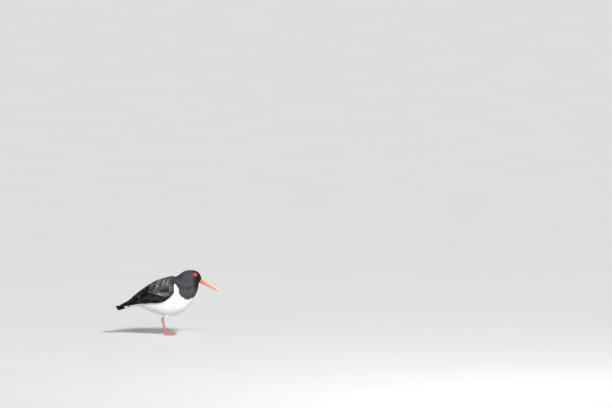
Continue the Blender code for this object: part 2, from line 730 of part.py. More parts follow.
def build_pupil(name, eye, frame, collection):
    """A plug let into the front of the eye and level with it."""
    front = EYE_RADIUS - EYE_DEPTH

    def plug(label, radius, depth):
        shape = bmesh.new()
        length = depth + PUPIL_OVER
        place = frame @ Matrix.Translation((0, 0, front + PUPIL_OVER - length / 2))
        bmesh.ops.create_cone(
            shape, cap_ends=True, segments=12, radius1=radius, radius2=radius, depth=length, matrix=place
        )
        return mesh_object(label, shape, collection)

    ball = bpy.data.objects.new("ball", eye.data.copy())
    collection.objects.link(ball)
    combine(eye, [plug("pocket", PUPIL_RADIUS + GAP, PUPIL_DEPTH + GAP)], "DIFFERENCE")
    pupil = plug(name, PUPIL_RADIUS, PUPIL_DEPTH)
    combine(pupil, [ball], "INTERSECT")
    return pupil


def finish(objects, collection, material):
    """Puts finished nodes in the bird's collection with their material, shaded smooth up to an angle."""
    for obj in objects:
        for owner in list(obj.users_collection):
            owner.objects.unlink(obj)
        collection.objects.link(obj)
        obj.data.materials.clear()
        obj.data.materials.append(material)
        obj.data.shade_smooth()
        obj.data.set_sharp_from_angle(angle=math.radians(40))


def main():
    clear_scene()
    bird = new_collection("oystercatcher")
    bench = new_collection("workbench")
    black = new_material("black_plumage", (0.020, 0.019, 0.020), 0.6)
    white = new_material("white_plumage", (0.82, 0.81, 0.78), 0.7)
    orange = new_material("orange_bill", (0.85, 0.20, 0.04), 0.4)
    red = new_material("red_eye", (0.62, 0.02, 0.01), 0.15)
    ring_red = new_material("red_eye_ring", (0.80, 0.10, 0.03), 0.5)
    dark = new_material("dark_pupil_and_claw", (0.015, 0.012, 0.010), 0.3)
    pink = new_material("pink_leg", (0.72, 0.36, 0.32), 0.55)

    body = build_body(bench)
    whole = bpy.data.objects.new("whole_body", body.data.copy())
    bench.objects.link(whole)
    bpy.context.view_layer.update()
    eye_frames = {word: eye_frame(whole, side) for side, word in SIDES}

    upper, belly = split(body, PLUMAGE_EDGE, ("upper", "torso_belly"), bench)
    front, back = split(upper, SHOULDER_CUT, ("front", "torso_back"), bench)
    head, neck = split(front, NAPE_CUT, ("head", "neck"), bench)

    bill = build_bill(head, bench)
    eyes = [build_eye(word, frame, head, bench) for word, frame in eye_frames.items()]
    tail = build_tail([whole], bench)
    wings = [build_wing(side, word, [whole, tail], bench) for side, word in SIDES]
    thighs, bare_legs, claws = [], [], []
    for side, word in SIDES:
        thigh = build_thigh(side, word, whole, bench)
        shank = build_shank(side, word, thigh, bench)
        foot, toe_claws = build_foot(side, word, shank, bench)
        thighs.append(thigh)
        bare_legs += [shank, foot]
        claws += toe_claws

    finish([head, neck, back, tail, *wings], bird, black)
    finish([belly, *thighs], bird, white)
    finish(bill, bird, orange)
    finish([eye for eye, _, _ in eyes], bird, red)
    finish([ring for _, ring, _ in eyes], bird, ring_red)
    finish([*(pupil for _, _, pupil in eyes), *claws], bird, dark)
    finish(bare_legs, bird, pink)

    for obj in list(bench.objects):
        bpy.data.objects.remove(obj)
    bpy.data.collections.remove(bench)


main()
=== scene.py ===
# %% [markdown]
# A standing oystercatcher, life size, dressed over its packed solids.
# The real bird is a pied wader: sooty black head, breast, wings and tail, a white belly with a white spur in
# front of each wing, a long orange bill, a red eye in an orange ring and pink legs. Its plumage could be
# painted on a smooth body or grown as hair. Here every feather is a thin mesh vane, because vanes overlap,
# keep their outline and shade one another from any side. The solids fix the sizes.

# %% Load the packed model as a fixed frame
import math

import bpy
import numpy as np
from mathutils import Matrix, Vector


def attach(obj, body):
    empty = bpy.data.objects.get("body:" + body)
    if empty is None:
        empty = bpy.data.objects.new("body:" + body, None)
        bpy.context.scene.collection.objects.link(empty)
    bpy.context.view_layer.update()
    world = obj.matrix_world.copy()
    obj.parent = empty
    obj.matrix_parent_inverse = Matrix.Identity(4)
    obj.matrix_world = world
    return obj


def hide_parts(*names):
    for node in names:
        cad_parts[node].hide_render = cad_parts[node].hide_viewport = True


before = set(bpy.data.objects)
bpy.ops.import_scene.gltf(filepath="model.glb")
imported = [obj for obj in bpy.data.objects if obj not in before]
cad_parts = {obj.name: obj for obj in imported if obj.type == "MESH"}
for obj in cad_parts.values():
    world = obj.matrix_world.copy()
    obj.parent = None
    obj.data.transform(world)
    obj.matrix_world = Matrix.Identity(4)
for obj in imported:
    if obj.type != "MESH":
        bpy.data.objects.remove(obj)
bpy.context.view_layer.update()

# %% [markdown]
# A bird's outline swells and draws in without a corner. A subdivision surface would smooth a rough cage, but
# it can't be asked for points between its vertices, and feathers ask for thousands. So a natural cubic
# spline runs through few sections and is read for whole arrays at once. Past its ends it goes on straight.

# %% A natural cubic through rows of values


def spline_of(knots, rows):
    """A function that reads the rows at any knot: each stretch is a cubic whose bend matches its neighbours'
    and is nought at the two ends. Past the ends it adds the end's slope times the distance."""
    knots, rows = np.asarray(knots, float), np.asarray(rows, float)
    gap, count = np.diff(knots), len(knots)
    inner = np.arange(1, count - 1)
    system, right = np.eye(count), np.zeros(rows.shape)
    system[inner, inner - 1] = gap[inner - 1]
    system[inner, inner] = 2 * (gap[inner - 1] + gap[inner])
    system[inner, inner + 1] = gap[inner]
    rise = np.diff(rows, axis=0) / gap[:, None]
    right[inner] = 6 * (rise[inner] - rise[inner - 1])
    bend = np.linalg.solve(system, right)

    def stretch(at):
        k = np.clip(np.searchsorted(knots, at) - 1, 0, count - 2)
        width = gap[k][..., None]
        a, b = (knots[k + 1] - at)[..., None] / width, (at - knots[k])[..., None] / width
        curve = ((a**3 - a) * bend[k] + (b**3 - b) * bend[k + 1]) * width**2 / 6
        return a * rows[k] + b * rows[k + 1] + curve

    def read(at):
        at = np.asarray(at, float)
        held = np.clip(at, knots[0], knots[-1])
        value = stretch(held)
        if np.any(held != at):
            near = (knots[-1] - knots[0]) / 1000
            ends = stretch(np.array([knots[0], knots[0] + near, knots[-1] - near, knots[-1]]))
            slope = np.where((at < held)[..., None], ends[1] - ends[0], ends[3] - ends[2]) / near
            value = value + slope * (at - held)[..., None]
        return value

    return read


def listed(table, place):
    """What a list of places and values gives at any place, straight between its lines."""
    return np.interp(place, *np.array(table).T)


print("a cubic through 0, 1 and 4 is", spline_of((0, 1, 2), [[0], [1], [4]])(0.5), "half-way to 1")

# %% [markdown]
# The trunk, neck and head are one form, as on the real bird under its feathers. It could be sculpted, but
# sections read from the side view are surer: each is an egg-shaped ring between a point on the back and one
# on the belly. The first number of a place on this form counts sections from the tail's root to the bill,
# the second is the angle round it from the back over the bird's right side.

# %% The body's form

# back x, back z, belly x, belly z, then the half widths an eighth, a quarter and three eighths round
BODY_SECTIONS = (
    (-0.1280, 0.1105, -0.1220, 0.0975, 0.0110, 0.0140, 0.0105),
    (-0.1000, 0.1235, -0.0960, 0.0965, 0.0175, 0.0225, 0.0175),
    (-0.0700, 0.1450, -0.0640, 0.0840, 0.0285, 0.0360, 0.0300),
    (-0.0350, 0.1720, -0.0290, 0.0710, 0.0370, 0.0460, 0.0390),
    (-0.0020, 0.1930, 0.0040, 0.0645, 0.0385, 0.0495, 0.0430),
    (0.0210, 0.2010, 0.0370, 0.0715, 0.0370, 0.0500, 0.0450),
    (0.0370, 0.2070, 0.0650, 0.0890, 0.0320, 0.0460, 0.0440),
    (0.0490, 0.2160, 0.0860, 0.1160, 0.0230, 0.0370, 0.0390),
    (0.0620, 0.2235, 0.1005, 0.1430, 0.0185, 0.0280, 0.0300),
    (0.0790, 0.2265, 0.1075, 0.1640, 0.0165, 0.0215, 0.0210),
    (0.0970, 0.2245, 0.1095, 0.1780, 0.0145, 0.0180, 0.0145),
    (0.1095, 0.2170, 0.1105, 0.1815, 0.0110, 0.0140, 0.0105),
    (0.1160, 0.2075, 0.1112, 0.1828, 0.0075, 0.0100, 0.0080),
    (0.1178, 0.2000, 0.1120, 0.1840, 0.0045, 0.0064, 0.0052),
)
LAST_SECTION = len(BODY_SECTIONS) - 1
read_body = spline_of(range(len(BODY_SECTIONS)), BODY_SECTIONS)


def body_at(section, angle):
    """A point of the form: the ring's centre, plus half of its spine times the cosine, and to the side the
    sine times a quadratic in the cosine that meets the ring's three half widths."""
    row = read_body(section)
    along, across = np.cos(angle), np.sin(angle)
    upper, middle, lower = row[..., 4], row[..., 5], row[..., 6]
    bulge = (upper + lower) * math.sqrt(2) - 2 * middle
    x = (row[..., 0] + row[..., 2]) / 2 + (row[..., 0] - row[..., 2]) / 2 * along
    z = (row[..., 1] + row[..., 3]) / 2 + (row[..., 1] - row[..., 3]) / 2 * along
    y = -across * (middle + (upper - lower) * along + bulge * along * along)
    return np.stack([x, y, z], axis=-1)


print("the crown is at", body_at(9.0, 0.0).round(4))

# %% [markdown]
# Feathers lie on surfaces, so each surface must say which way it faces and how to move over it by a real
# distance. A ray cast on a mesh would tell, one place at a time. Here both answers come from the change of
# the point with each of its two numbers, for all places at once.

# %% How a surface turns, and how to move on it
SURFACE_STEP = 0.001


def unit(vectors):
    """Each vector over its own length."""
    return vectors / np.linalg.norm(vectors, axis=-1, keepdims=True)


def dot(first, second):
    """The sum of the products, vector by vector."""
    return np.einsum("...i,...i->...", first, second)


def turns_of(surface, u, v, facing):
    """How the point changes with u and with v, and the unit vector square to both. Facing is 1 or -1, so
    that it points outwards."""
    along = (surface(u + SURFACE_STEP, v) - surface(u - SURFACE_STEP, v)) / (2 * SURFACE_STEP)
    around = (surface(u, v + SURFACE_STEP) - surface(u, v - SURFACE_STEP)) / (2 * SURFACE_STEP)
    return along, around, unit(np.cross(around, along)) * facing


def once_round(count):
    """Equal angles once round, the last a step before the first."""
    return np.linspace(0, 2 * np.pi, count, endpoint=False)


def steps_for(along, around, shift):
    """The changes of u and v that come nearest to a shift: the two by two system of least squares."""
    a, b, c = dot(along, along), dot(along, around), dot(around, around)
    p, q = dot(along, shift), dot(around, shift)
    whole = a * c - b * b
    return (c * p - b * q) / whole, (a * q - b * p) / whole


print("the breast faces", turns_of(body_at, 7.0, np.pi, 1)[2].round(2))

# %% [markdown]
# A model of thousands of feathers is too large to add face by face. A mesh is made from arrays at once: its
# points, the corners of all faces in one row, and where each face starts. Every finished piece rides on the
# one body, and the solids that it stands for are hidden.

# %% Meshes and pieces


def mesh_of(name, points, corners, sizes, smooth=True):
    """A mesh object from arrays of points and corners, with faces of any size."""
    places = np.asarray(points, np.float32).ravel()
    mesh = bpy.data.meshes.new(name)
    mesh.vertices.add(len(places) // 3)
    mesh.vertices.foreach_set("co", places)
    mesh.loops.add(len(corners))
    mesh.loops.foreach_set("vertex_index", np.asarray(corners, np.int32))
    mesh.polygons.add(len(sizes))
    starts = np.concatenate([[0], np.cumsum(sizes)[:-1]])
    mesh.polygons.foreach_set("loop_start", starts.astype(np.int32))
    mesh.update(calc_edges=True)
    mesh.validate()
    mesh.polygons.foreach_set("use_smooth", np.full(len(mesh.polygons), smooth))
    obj = bpy.data.objects.new(name, mesh)
    bpy.context.scene.collection.objects.link(obj)
    return obj


def map_of(obj, name, places):
    """A UV map from one place for each corner."""
    layer = obj.data.uv_layers.new(name=name)
    layer.data.foreach_set("uv", np.asarray(places, np.float32).ravel())


def value_of(obj, name, values):
    """A number kept at each point, for the material to read."""
    layer = obj.data.attributes.new(name, "FLOAT", "POINT")
    layer.data.foreach_set("value", np.asarray(values, np.float32).ravel())


def piece(obj, material, slot, *nodes):
    """Gives a finished object its material and its body, and hides the solids that it stands for. The slot is
    not used.
    """
    obj.data.materials.append(material)
    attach(obj, "root")
    if nodes:
        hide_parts(*nodes)
    print(obj.name, len(obj.data.polygons), "faces")


# %% [markdown]
# The skin, the wings' slabs, the bill and the legs are all grids that close into a ring. A bridge of edge
# loops would close them by hand. Here one many-sided face fills each end, and all faces are turned over at
# once where a mirrored form would show its inside.

# %% Faces of a ring grid


def grid_faces(rows, columns, turned=False):
    """Quads of a grid whose columns close into a ring, with a cap of all points at each end. Turned over,
    each face has its corners in reverse order."""
    grid = np.arange(rows * columns).reshape(rows, columns)
    beside = np.roll(grid, -1, axis=1)
    quads = np.stack([grid[:-1], beside[:-1], beside[1:], grid[1:]], axis=-1).reshape(-1, 4)
    corners = np.concatenate([quads.ravel(), grid[0, ::-1], grid[-1]])
    sizes = np.concatenate([np.full(len(quads), 4), [columns, columns]])
    if turned:
        corners = corners[np.repeat(2 * np.cumsum(sizes) - sizes - 1, sizes) - np.arange(len(corners))]
    return corners, sizes


print("a ring grid of 4 by 6 points has", len(grid_faces(4, 6)[1]), "faces")

# %% [markdown]
# Each finish is a small tree of nodes round the Principled shader. It could be wired by hand in the Shader
# Editor. Short calls wire it from code instead, so that a whole finish can be read in a few lines.

# %% Small helpers for nodes


class Nodes:
    """A material's node tree, with short calls for the few kinds of node used here."""

    def __init__(self, name):
        """A new material and its shader."""
        self.material = bpy.data.materials.new(name)
        self.material.use_nodes = True
        self.tree = self.material.node_tree
        self.shader = self.tree.nodes["Principled BSDF"]

    def add(self, kind, fill=None, **settings):
        """A node of one kind with its settings. A socket is filled by linking it to an output, or with a
        number, a vector or a colour of three parts."""
        node = self.tree.nodes.new(kind)
        for key, value in settings.items():
            setattr(node, key, value)
        self.fill(node, fill or {})
        return node

    def fill(self, node, values):
        """Fills a node's sockets by name or number."""
        for key, value in values.items():
            socket = node.inputs[key]
            if isinstance(value, bpy.types.NodeSocket):
                self.tree.links.new(value, socket)
            elif socket.type == "RGBA":
                socket.default_value = (*value, 1)
            else:
                socket.default_value = value

    def math(self, operation, *values):
        """The result of one operation on up to three values."""
        return self.add("ShaderNodeMath", dict(enumerate(values)), operation=operation).outputs[0]

    def ramp(self, value, low, high):
        """0 below low, 1 above high and a smooth step between."""
        fill = {"Value": value, "From Min": low, "From Max": high}
        return self.add("ShaderNodeMapRange", fill, interpolation_type="SMOOTHSTEP").outputs["Result"]

    def mix(self, share, first, second):
        """The first colour times one minus the share, plus the second times the share."""
        fill = {"Factor": share, "A": first, "B": second}
        return self.add("ShaderNodeMix", fill, data_type="RGBA").outputs["Result"]

    def number(self, name):
        """A number kept at the mesh's points."""
        return self.add("ShaderNodeAttribute", attribute_name=name).outputs["Fac"]

    def places(self):
        """Object coordinates, in metres."""
        return self.add("ShaderNodeTexCoord").outputs["Object"]

    def noise(self, scale):
        """Clouds between 0 and 1, with as many to the metre as the scale."""
        fill = {"Vector": self.places(), "Scale": scale, "Detail": 3.0}
        return self.add("ShaderNodeTexNoise", fill).outputs["Fac"]

    def bump(self, height, strength, distance):
        """Tilts the shading by the slope of a height of 0 to 1 that stands for the distance."""
        fill = {"Height": height, "Strength": strength, "Distance": distance}
        self.set(Normal=self.add("ShaderNodeBump", fill).outputs["Normal"])

    def set(self, **values):
        """Fills the shader's own sockets by name."""
        self.fill(self.shader, {name.replace("_", " "): value for name, value in values.items()})


print("calls for nodes:", [name for name in vars(Nodes) if not name.startswith("_")])

# %% [markdown]
# Plumage is one finish in two colours. A feather's barbs run slantwise from its shaft to its edge, about two
# to the millimetre, and catch the light like brushed cloth, so the bump follows them. Old feathers bleach
# along their edges: the wing's show pale brown fringes, here brightened by painted glints of light. The
# black's grey sheen is painted into its colour too. Black and white could be two materials, but one that
# reads a number kept at each point can give a single feather both.

# %% The finish of feathers
# the second black is a painted grey sheen, and the blue tint of both blacks is a painted reflection of the
# sky
BLACK_DEEP, BLACK_PAINTED_SHEEN = (0.0023, 0.0025, 0.0046), (0.0615, 0.0640, 0.0680)
WHITE_CLEAN, WHITE_SHADE = (0.87, 0.87, 0.86), (0.72, 0.715, 0.70)
# the fringe's pale colour is partly wear and partly painted glints of light on the feathers' edges
FRINGE_AND_GLINT = (0.86, 0.82, 0.75)
BARB_PITCH, BARB_SLANT, CLUMP_STRETCH, CLUMP_SCALE = 0.50, 0.9, 0.25, 0.9
CLUMP_SHARE, TONE_SHARE, TONE_BASE = 0.55, 0.45, 0.45
FRINGE_SIDE, FRINGE_ALONG, FRINGE_END = (0.66, 0.96), (0.55, 0.90), (0.88, 0.98)
WEAR_SCALE, WEAR = 420.0, (0.26, 0.54)


def plumage():
    """Colour: black or white by the point's number. Black runs from deep to a painted grey sheen by the
    point's painted sheen, a little up and down from feather to feather and along clumps of barbs. The
    fringe's colour, pale from wear and brightened by painted glints, comes in at the vane's tip and the edge
    beside it, broken up by noise. Bump: a sine across the barbs, and the clumps."""
    n = Nodes("plumage")
    vane = n.add("ShaderNodeUVMap", uv_map="vane").outputs["UV"]
    parts = n.add("ShaderNodeSeparateXYZ", {0: vane})
    slant = n.math("MULTIPLY", n.math("ABSOLUTE", parts.outputs["X"]), BARB_SLANT)
    place = n.math("SUBTRACT", parts.outputs["Y"], slant)
    barbs = n.math("SINE", n.math("MULTIPLY", place, 2 * math.pi / BARB_PITCH))
    stretched = n.math("MULTIPLY", parts.outputs["X"], CLUMP_STRETCH)
    clump_at = n.add("ShaderNodeCombineXYZ", {0: stretched, 1: place}).outputs[0]
    clump = n.add("ShaderNodeTexNoise", {"Vector": clump_at, "Scale": CLUMP_SCALE}).outputs["Fac"]
    tone = n.math("MULTIPLY", n.number("tone"), TONE_SHARE)
    uneven = n.math("MULTIPLY_ADD", clump, CLUMP_SHARE, tone)
    # the point's painted sheen mixes the deep black towards the painted grey sheen
    shade = n.math("MULTIPLY", n.number("shade"), n.math("ADD", uneven, TONE_BASE))
    black = n.mix(shade, BLACK_DEEP, BLACK_PAINTED_SHEEN)
    white = n.mix(n.ramp(uneven, 0.15, 0.75), WHITE_SHADE, WHITE_CLEAN)
    # the fringe: pale wear brightened by painted glints, broken up by noise
    side = n.ramp(n.math("ABSOLUTE", n.number("across")), *FRINGE_SIDE)
    side = n.math("MULTIPLY", side, n.ramp(n.number("along"), *FRINGE_ALONG))
    end = n.ramp(n.number("along"), *FRINGE_END)
    wear_and_glint = n.ramp(n.noise(WEAR_SCALE), *WEAR)
    edge = n.math("MULTIPLY", n.math("MULTIPLY", n.math("MAXIMUM", side, end), wear_and_glint), n.number("fringe"))
    n.set(Base_Color=n.mix(n.ramp(n.number("white"), 0.35, 0.65), n.mix(edge, black, FRINGE_AND_GLINT), white))
    n.set(Roughness=0.55, Specular_IOR_Level=0.13)
    n.bump(n.math("MULTIPLY_ADD", clump, 1.2, barbs), 0.16, 0.00010)
    return n.material


feather_finish = plumage()
print("plumage has", len(feather_finish.node_tree.nodes), "nodes")

# %% [markdown]
# Where black ends and white begins is one line in side view, from under the tail along the hidden flank, up
# to the point of the white spur in front of the wing, down round the bib and off the breast. It could be
# painted by hand. Read from a list of places, it is the same line for the skin and the feathers over it, and
# each feather of the coat is wholly black or wholly white, as on the bird.

# %% The marking
MARKING_LINE = (
    (-0.1500, 0.1000), (-0.1100, 0.1060), (-0.0500, 0.1300), (0.0000, 0.1560), (0.0150, 0.1730),
    (0.0240, 0.1805), (0.0310, 0.1775), (0.0380, 0.1680), (0.0415, 0.1540), (0.0470, 0.1435),
    (0.0570, 0.1340), (0.0660, 0.1285), (0.0780, 0.1300), (0.0890, 0.1320), (0.0980, 0.1400),
    (0.1200, 0.1550),
)
MARKING_SOFTNESS, RUMP_FRONT = 0.0004, -0.090


def whiteness(points):
    """1 below the marking line and 0 above it, with a soft step between: the height under the line over the
    softness, held between 0 and 1. Two sines make the line ragged, where clumps of feathers end. Behind a
    line of its own the rump is white all round."""
    x, y, z = np.moveaxis(points, -1, 0)
    tufts = 0.0016 * np.sin(620 * x + 3 * np.sin(190 * x)) + 0.0010 * np.sin(1500 * x + 900 * y)
    below = listed(MARKING_LINE, x) + tufts - z
    behind = RUMP_FRONT + 0.0015 * np.sin(900 * y) - x
    return np.clip(0.5 + np.maximum(below, behind) / MARKING_SOFTNESS, 0, 1)


print("white on the back and under the belly:", whiteness(body_at(np.full(2, 4.0), np.array([0, np.pi]))))

# %% [markdown]
# Where the drawn-in head meets the bib, a soft fold runs across the neck. More sections could carry it, but
# they would bend the whole neck. A groove along the fold's own line sinks skin and feathers alike.

# %% The fold across the neck
FOLD_LINE = ((0.030, 0.181), (0.040, 0.177), (0.054, 0.168), (0.075, 0.1645), (0.086, 0.169), (0.096, 0.181))
FOLD_REACH, FOLD_DEPTH = 0.0036, 0.0030


def step(value, low, high):
    """0 at low, 1 at high, and between them the smooth step of three squares less two cubes."""
    share = np.clip((value - low) / (high - low), 0, 1)
    return share * share * (3 - 2 * share)


def fold_of(points):
    """The soft fold between the drawn-in head and the bib, as a depth: a bell curve of the height over the
    fold's line, faded at its two ends."""
    x, z = points[..., 0], points[..., 2]
    away = (z - listed(FOLD_LINE, x)) / FOLD_REACH
    (start, _), (full, _), *_, (fade, _), (end, _) = FOLD_LINE
    return FOLD_DEPTH * np.exp(-(away**2)) * (step(x, start, full) * step(x, end, fade))


print("the fold is", 1000 * FOLD_DEPTH, "mm deep")

# %% [markdown]
# Fresh black feathers shine grey where the light falls on them at a slant: on the crown, the neck's sides and
# the bib. Here that sheen is painted into their colour. Round the bill and on the throat the feathers are
# short, and there and on the back the painted sheen is left out, so they stay deep black. A sheen that
# followed the camera would slide over the bird, so the painted sheen's strength is a number kept at each
# point.

# %% The grey sheen, painted into the colour
# the painted grey sheen: where it fades, how it varies, and the painted shade that darkens the fold
SHEEN_BACK, SHEEN_FACE, SHEEN_THROAT = (-0.020, 0.045), (0.098, 0.084), (0.140, 0.176)
SHEEN_LEAST, SHEEN_WAVES, FOLD_PAINTED_SHADE, SHEEN_MOST = 0.16, 0.26, 0.60, 1.4

# patches of painted sheen and painted shade on the neck in side view: x, z, reach in x, reach in z, change of
# the painted sheen
PAINTED_SHEEN_PATCHES = (
    (0.044, 0.203, 0.008, 0.016, -0.55), (0.060, 0.191, 0.012, 0.008, -0.30),
    (0.084, 0.179, 0.010, 0.004, 0.25), (0.068, 0.210, 0.012, 0.008, 0.22),
    (0.070, 0.134, 0.014, 0.006, -0.35), (0.034, 0.176, 0.006, 0.010, -0.40),
)


def painted_sheen_of(points):
    """The painted sheen: full on the neck, and falling by smooth steps towards the face and the throat, and
    towards the rump. Two crossed waves and a few bell curves paint lighter and darker patches for feathers
    that lie at other slants, and painted shadow darkens the fold."""
    x, y, z = np.moveaxis(points, -1, 0)
    face = step(x - 0.25 * np.clip(0.176 - z, 0, 1), *SHEEN_FACE)
    front = 1 - step(z, *SHEEN_THROAT) * (1 - face)
    slant, level = np.sin(330 * x + 2 * np.sin(190 * z + 60 * y)), 290 * z + 1.5 * np.sin(240 * x) + 80 * y
    change = 1 + SHEEN_WAVES * (slant * np.sin(level))
    for place_x, place_z, wide, high, amount in PAINTED_SHEEN_PATCHES:
        change = change + amount * np.exp(-(((x - place_x) / wide) ** 2) - ((z - place_z) / high) ** 2)
    # painted shade along the fold
    dull = 1 - FOLD_PAINTED_SHADE * fold_of(points) / FOLD_DEPTH
    full = step(x, *SHEEN_BACK) * front * dull * np.clip(change, 0, SHEEN_MOST)
    return SHEEN_LEAST + (1 - SHEEN_LEAST) * full


print("sheen at the neck's side", painted_sheen_of(np.array([0.06, -0.03, 0.19])).round(2))

# %% [markdown]
# Between real feathers one sees more feathers, never bare skin. The solids of head, neck, trunk and thighs
# could stay and be coloured, but feathers can't sink into them. One closed skin inside the plumage replaces
# them, deep under the belly's loose coat and close under the face's short one, in the coat's own colours.

# %% The skin under the coat
SKIN_ROWS, SKIN_COLUMNS, SKIN_PAINTED_SHEEN, SKIN_TONE, MILLIMETRES = 105, 72, 0.6, 0.3, 1000

# section, and how deep the skin lies there under the coat's outer face
COAT_DEPTH = ((0, 0.0012), (4, 0.0014), (6, 0.0013), (8, 0.0011), (9.5, 0.0008), (11, 0.0006), (13, 0.0004))
PLUMAGE_VALUES = ("white", "shade", "tone", "along", "across", "fringe")


def keep_values(obj, **values):
    """Keeps each number that the plumage reads at every point, nought where none is given."""
    for name in PLUMAGE_VALUES:
        value_of(obj, name, np.zeros(len(obj.data.vertices)) + np.ravel(values.get(name, 0.0)))


def flat_maps(obj, points, corners, along, around):
    """Both maps of a bare surface: the bake's unit square less a rim, and the vane's millimetres."""
    map_of(obj, "OFBake", 0.02 + 0.96 * np.stack([along, around], axis=-1))
    map_of(obj, "vane", points.reshape(-1, 3)[corners][:, [1, 0]] * MILLIMETRES)


def build_skin():
    """The body's form, each point moved in by the coat's depth along the surface's normal."""
    sections = np.linspace(0, LAST_SECTION, SKIN_ROWS)
    section, angle = np.meshgrid(sections, once_round(SKIN_COLUMNS), indexing="ij")
    _, _, normal = turns_of(body_at, section, angle, 1)
    outer = body_at(section, angle)
    points = outer - normal * (listed(COAT_DEPTH, section) + fold_of(outer))[..., None]
    corners, sizes = grid_faces(SKIN_ROWS, SKIN_COLUMNS)
    obj = mesh_of("skin", points, corners, sizes)
    around = (angle / (2 * np.pi)).ravel()[corners]
    whole = np.arange(len(corners)) < 4 * (len(sizes) - 2)
    turned = whole & (np.tile([0, 1, 1, 0], len(corners) // 4 + 1)[: len(corners)] == 1) & (around == 0)
    along = (section / LAST_SECTION).ravel()[corners]
    flat_maps(obj, points, corners, along, around + turned)
    # the skin takes the coat's painted sheen, weaker
    keep_values(obj, white=whiteness(points), shade=SKIN_PAINTED_SHEEN * painted_sheen_of(points), tone=SKIN_TONE)
    return obj


piece(
    build_skin(), feather_finish, "black_plumage",
    "head", "neck", "torso_back", "torso_belly", "thigh_left", "thigh_right",
)

# %% [markdown]
# One feather is a thin closed shell: a curved vane above, a flat underside from edge to edge, and two small
# ends. A flat card would have fewer faces, but it would vanish seen from its edge. The outline is a list of
# widths at stations from root to tip, over columns from edge to edge. Face feathers need few of both, body
# feathers a few more, and the quills of wing and tail enough for a round tip.

# %% The outline of feathers
SMALL_FORM = dict(
    stations=np.array([0, 0.42, 0.78, 1.0]), width=np.array([0.45, 1.0, 0.80, 0.16]),
    columns=np.array([-1.0, 0, 1.0]),
)
BODY_FORM = dict(
    stations=np.array([0, 0.34, 0.62, 0.85, 1.0]), width=np.array([0.42, 0.92, 1.0, 0.78, 0.22]),
    columns=np.array([-1.0, 0, 1.0]),
)
QUILL_FORM = dict(
    stations=np.array([0, 0.10, 0.22, 0.36, 0.50, 0.63, 0.75, 0.84, 0.91, 0.96, 0.99, 1.0]),
    width=np.array([0.30, 0.62, 0.84, 0.95, 1.0, 1.0, 0.98, 0.92, 0.80, 0.60, 0.34, 0.12]),
    columns=np.array([-1.0, -0.70, -0.36, -0.07, 0, 0.07, 0.36, 0.70, 1.0]),
)


def feather_faces(form):
    """One feather's faces as a row of corners with their sizes, the station and column of every corner, and
    its place in the unit square of the bake: the vane left, the underside right, the ends in thin strips."""
    rows, columns = len(form["stations"]), len(form["columns"])
    grid = np.arange(rows * columns).reshape(rows, columns)
    top = np.stack([grid[:-1, :-1], grid[1:, :-1], grid[1:, 1:], grid[:-1, 1:]], axis=-1).reshape(-1)
    under = np.stack([grid[:-1, 0], grid[:-1, -1], grid[1:, -1], grid[1:, 0]], axis=-1).reshape(-1)
    corners = np.concatenate([top, under, grid[0], grid[-1, ::-1]])
    sizes = np.concatenate([np.full((len(top) + len(under)) // 4, 4), [columns, columns]])
    along = form["stations"][corners // columns]
    across = form["columns"][corners % columns]
    left, right = 0.02 + 0.23 * (across + 1), 0.52 + 0.23 * (across + 1)
    level, arch = 0.08 + 0.84 * along, 0.05 * (1.2 - across**2)
    part = np.repeat([0, 1, 2, 3], [len(top), len(under), columns, columns])
    place_u = np.where(part == 1, right, left)
    place_v = np.choose(part, [level, level, arch, 0.94 + arch])
    return corners, sizes, np.stack([place_u, place_v], axis=-1)


for label, form in (("small", SMALL_FORM), ("body", BODY_FORM), ("quill", QUILL_FORM)):
    print("a", label, "feather has", int((feather_faces(form)[1] - 2).sum()), "triangles")

# %% [markdown]
# A bird has thousands of feathers. As objects of their own they would be slow, and an instancer would share
# one shape where each feather bends to its own place. So batches of them are gathered as arrays and become
# one mesh. What the plumage reads, such as black or white, is kept at every point.

# %% Many feathers, one piece
VANE_EDGE, BARB_HALF, SMALL_PATCH = math.radians(50), 0.0022, 0.003


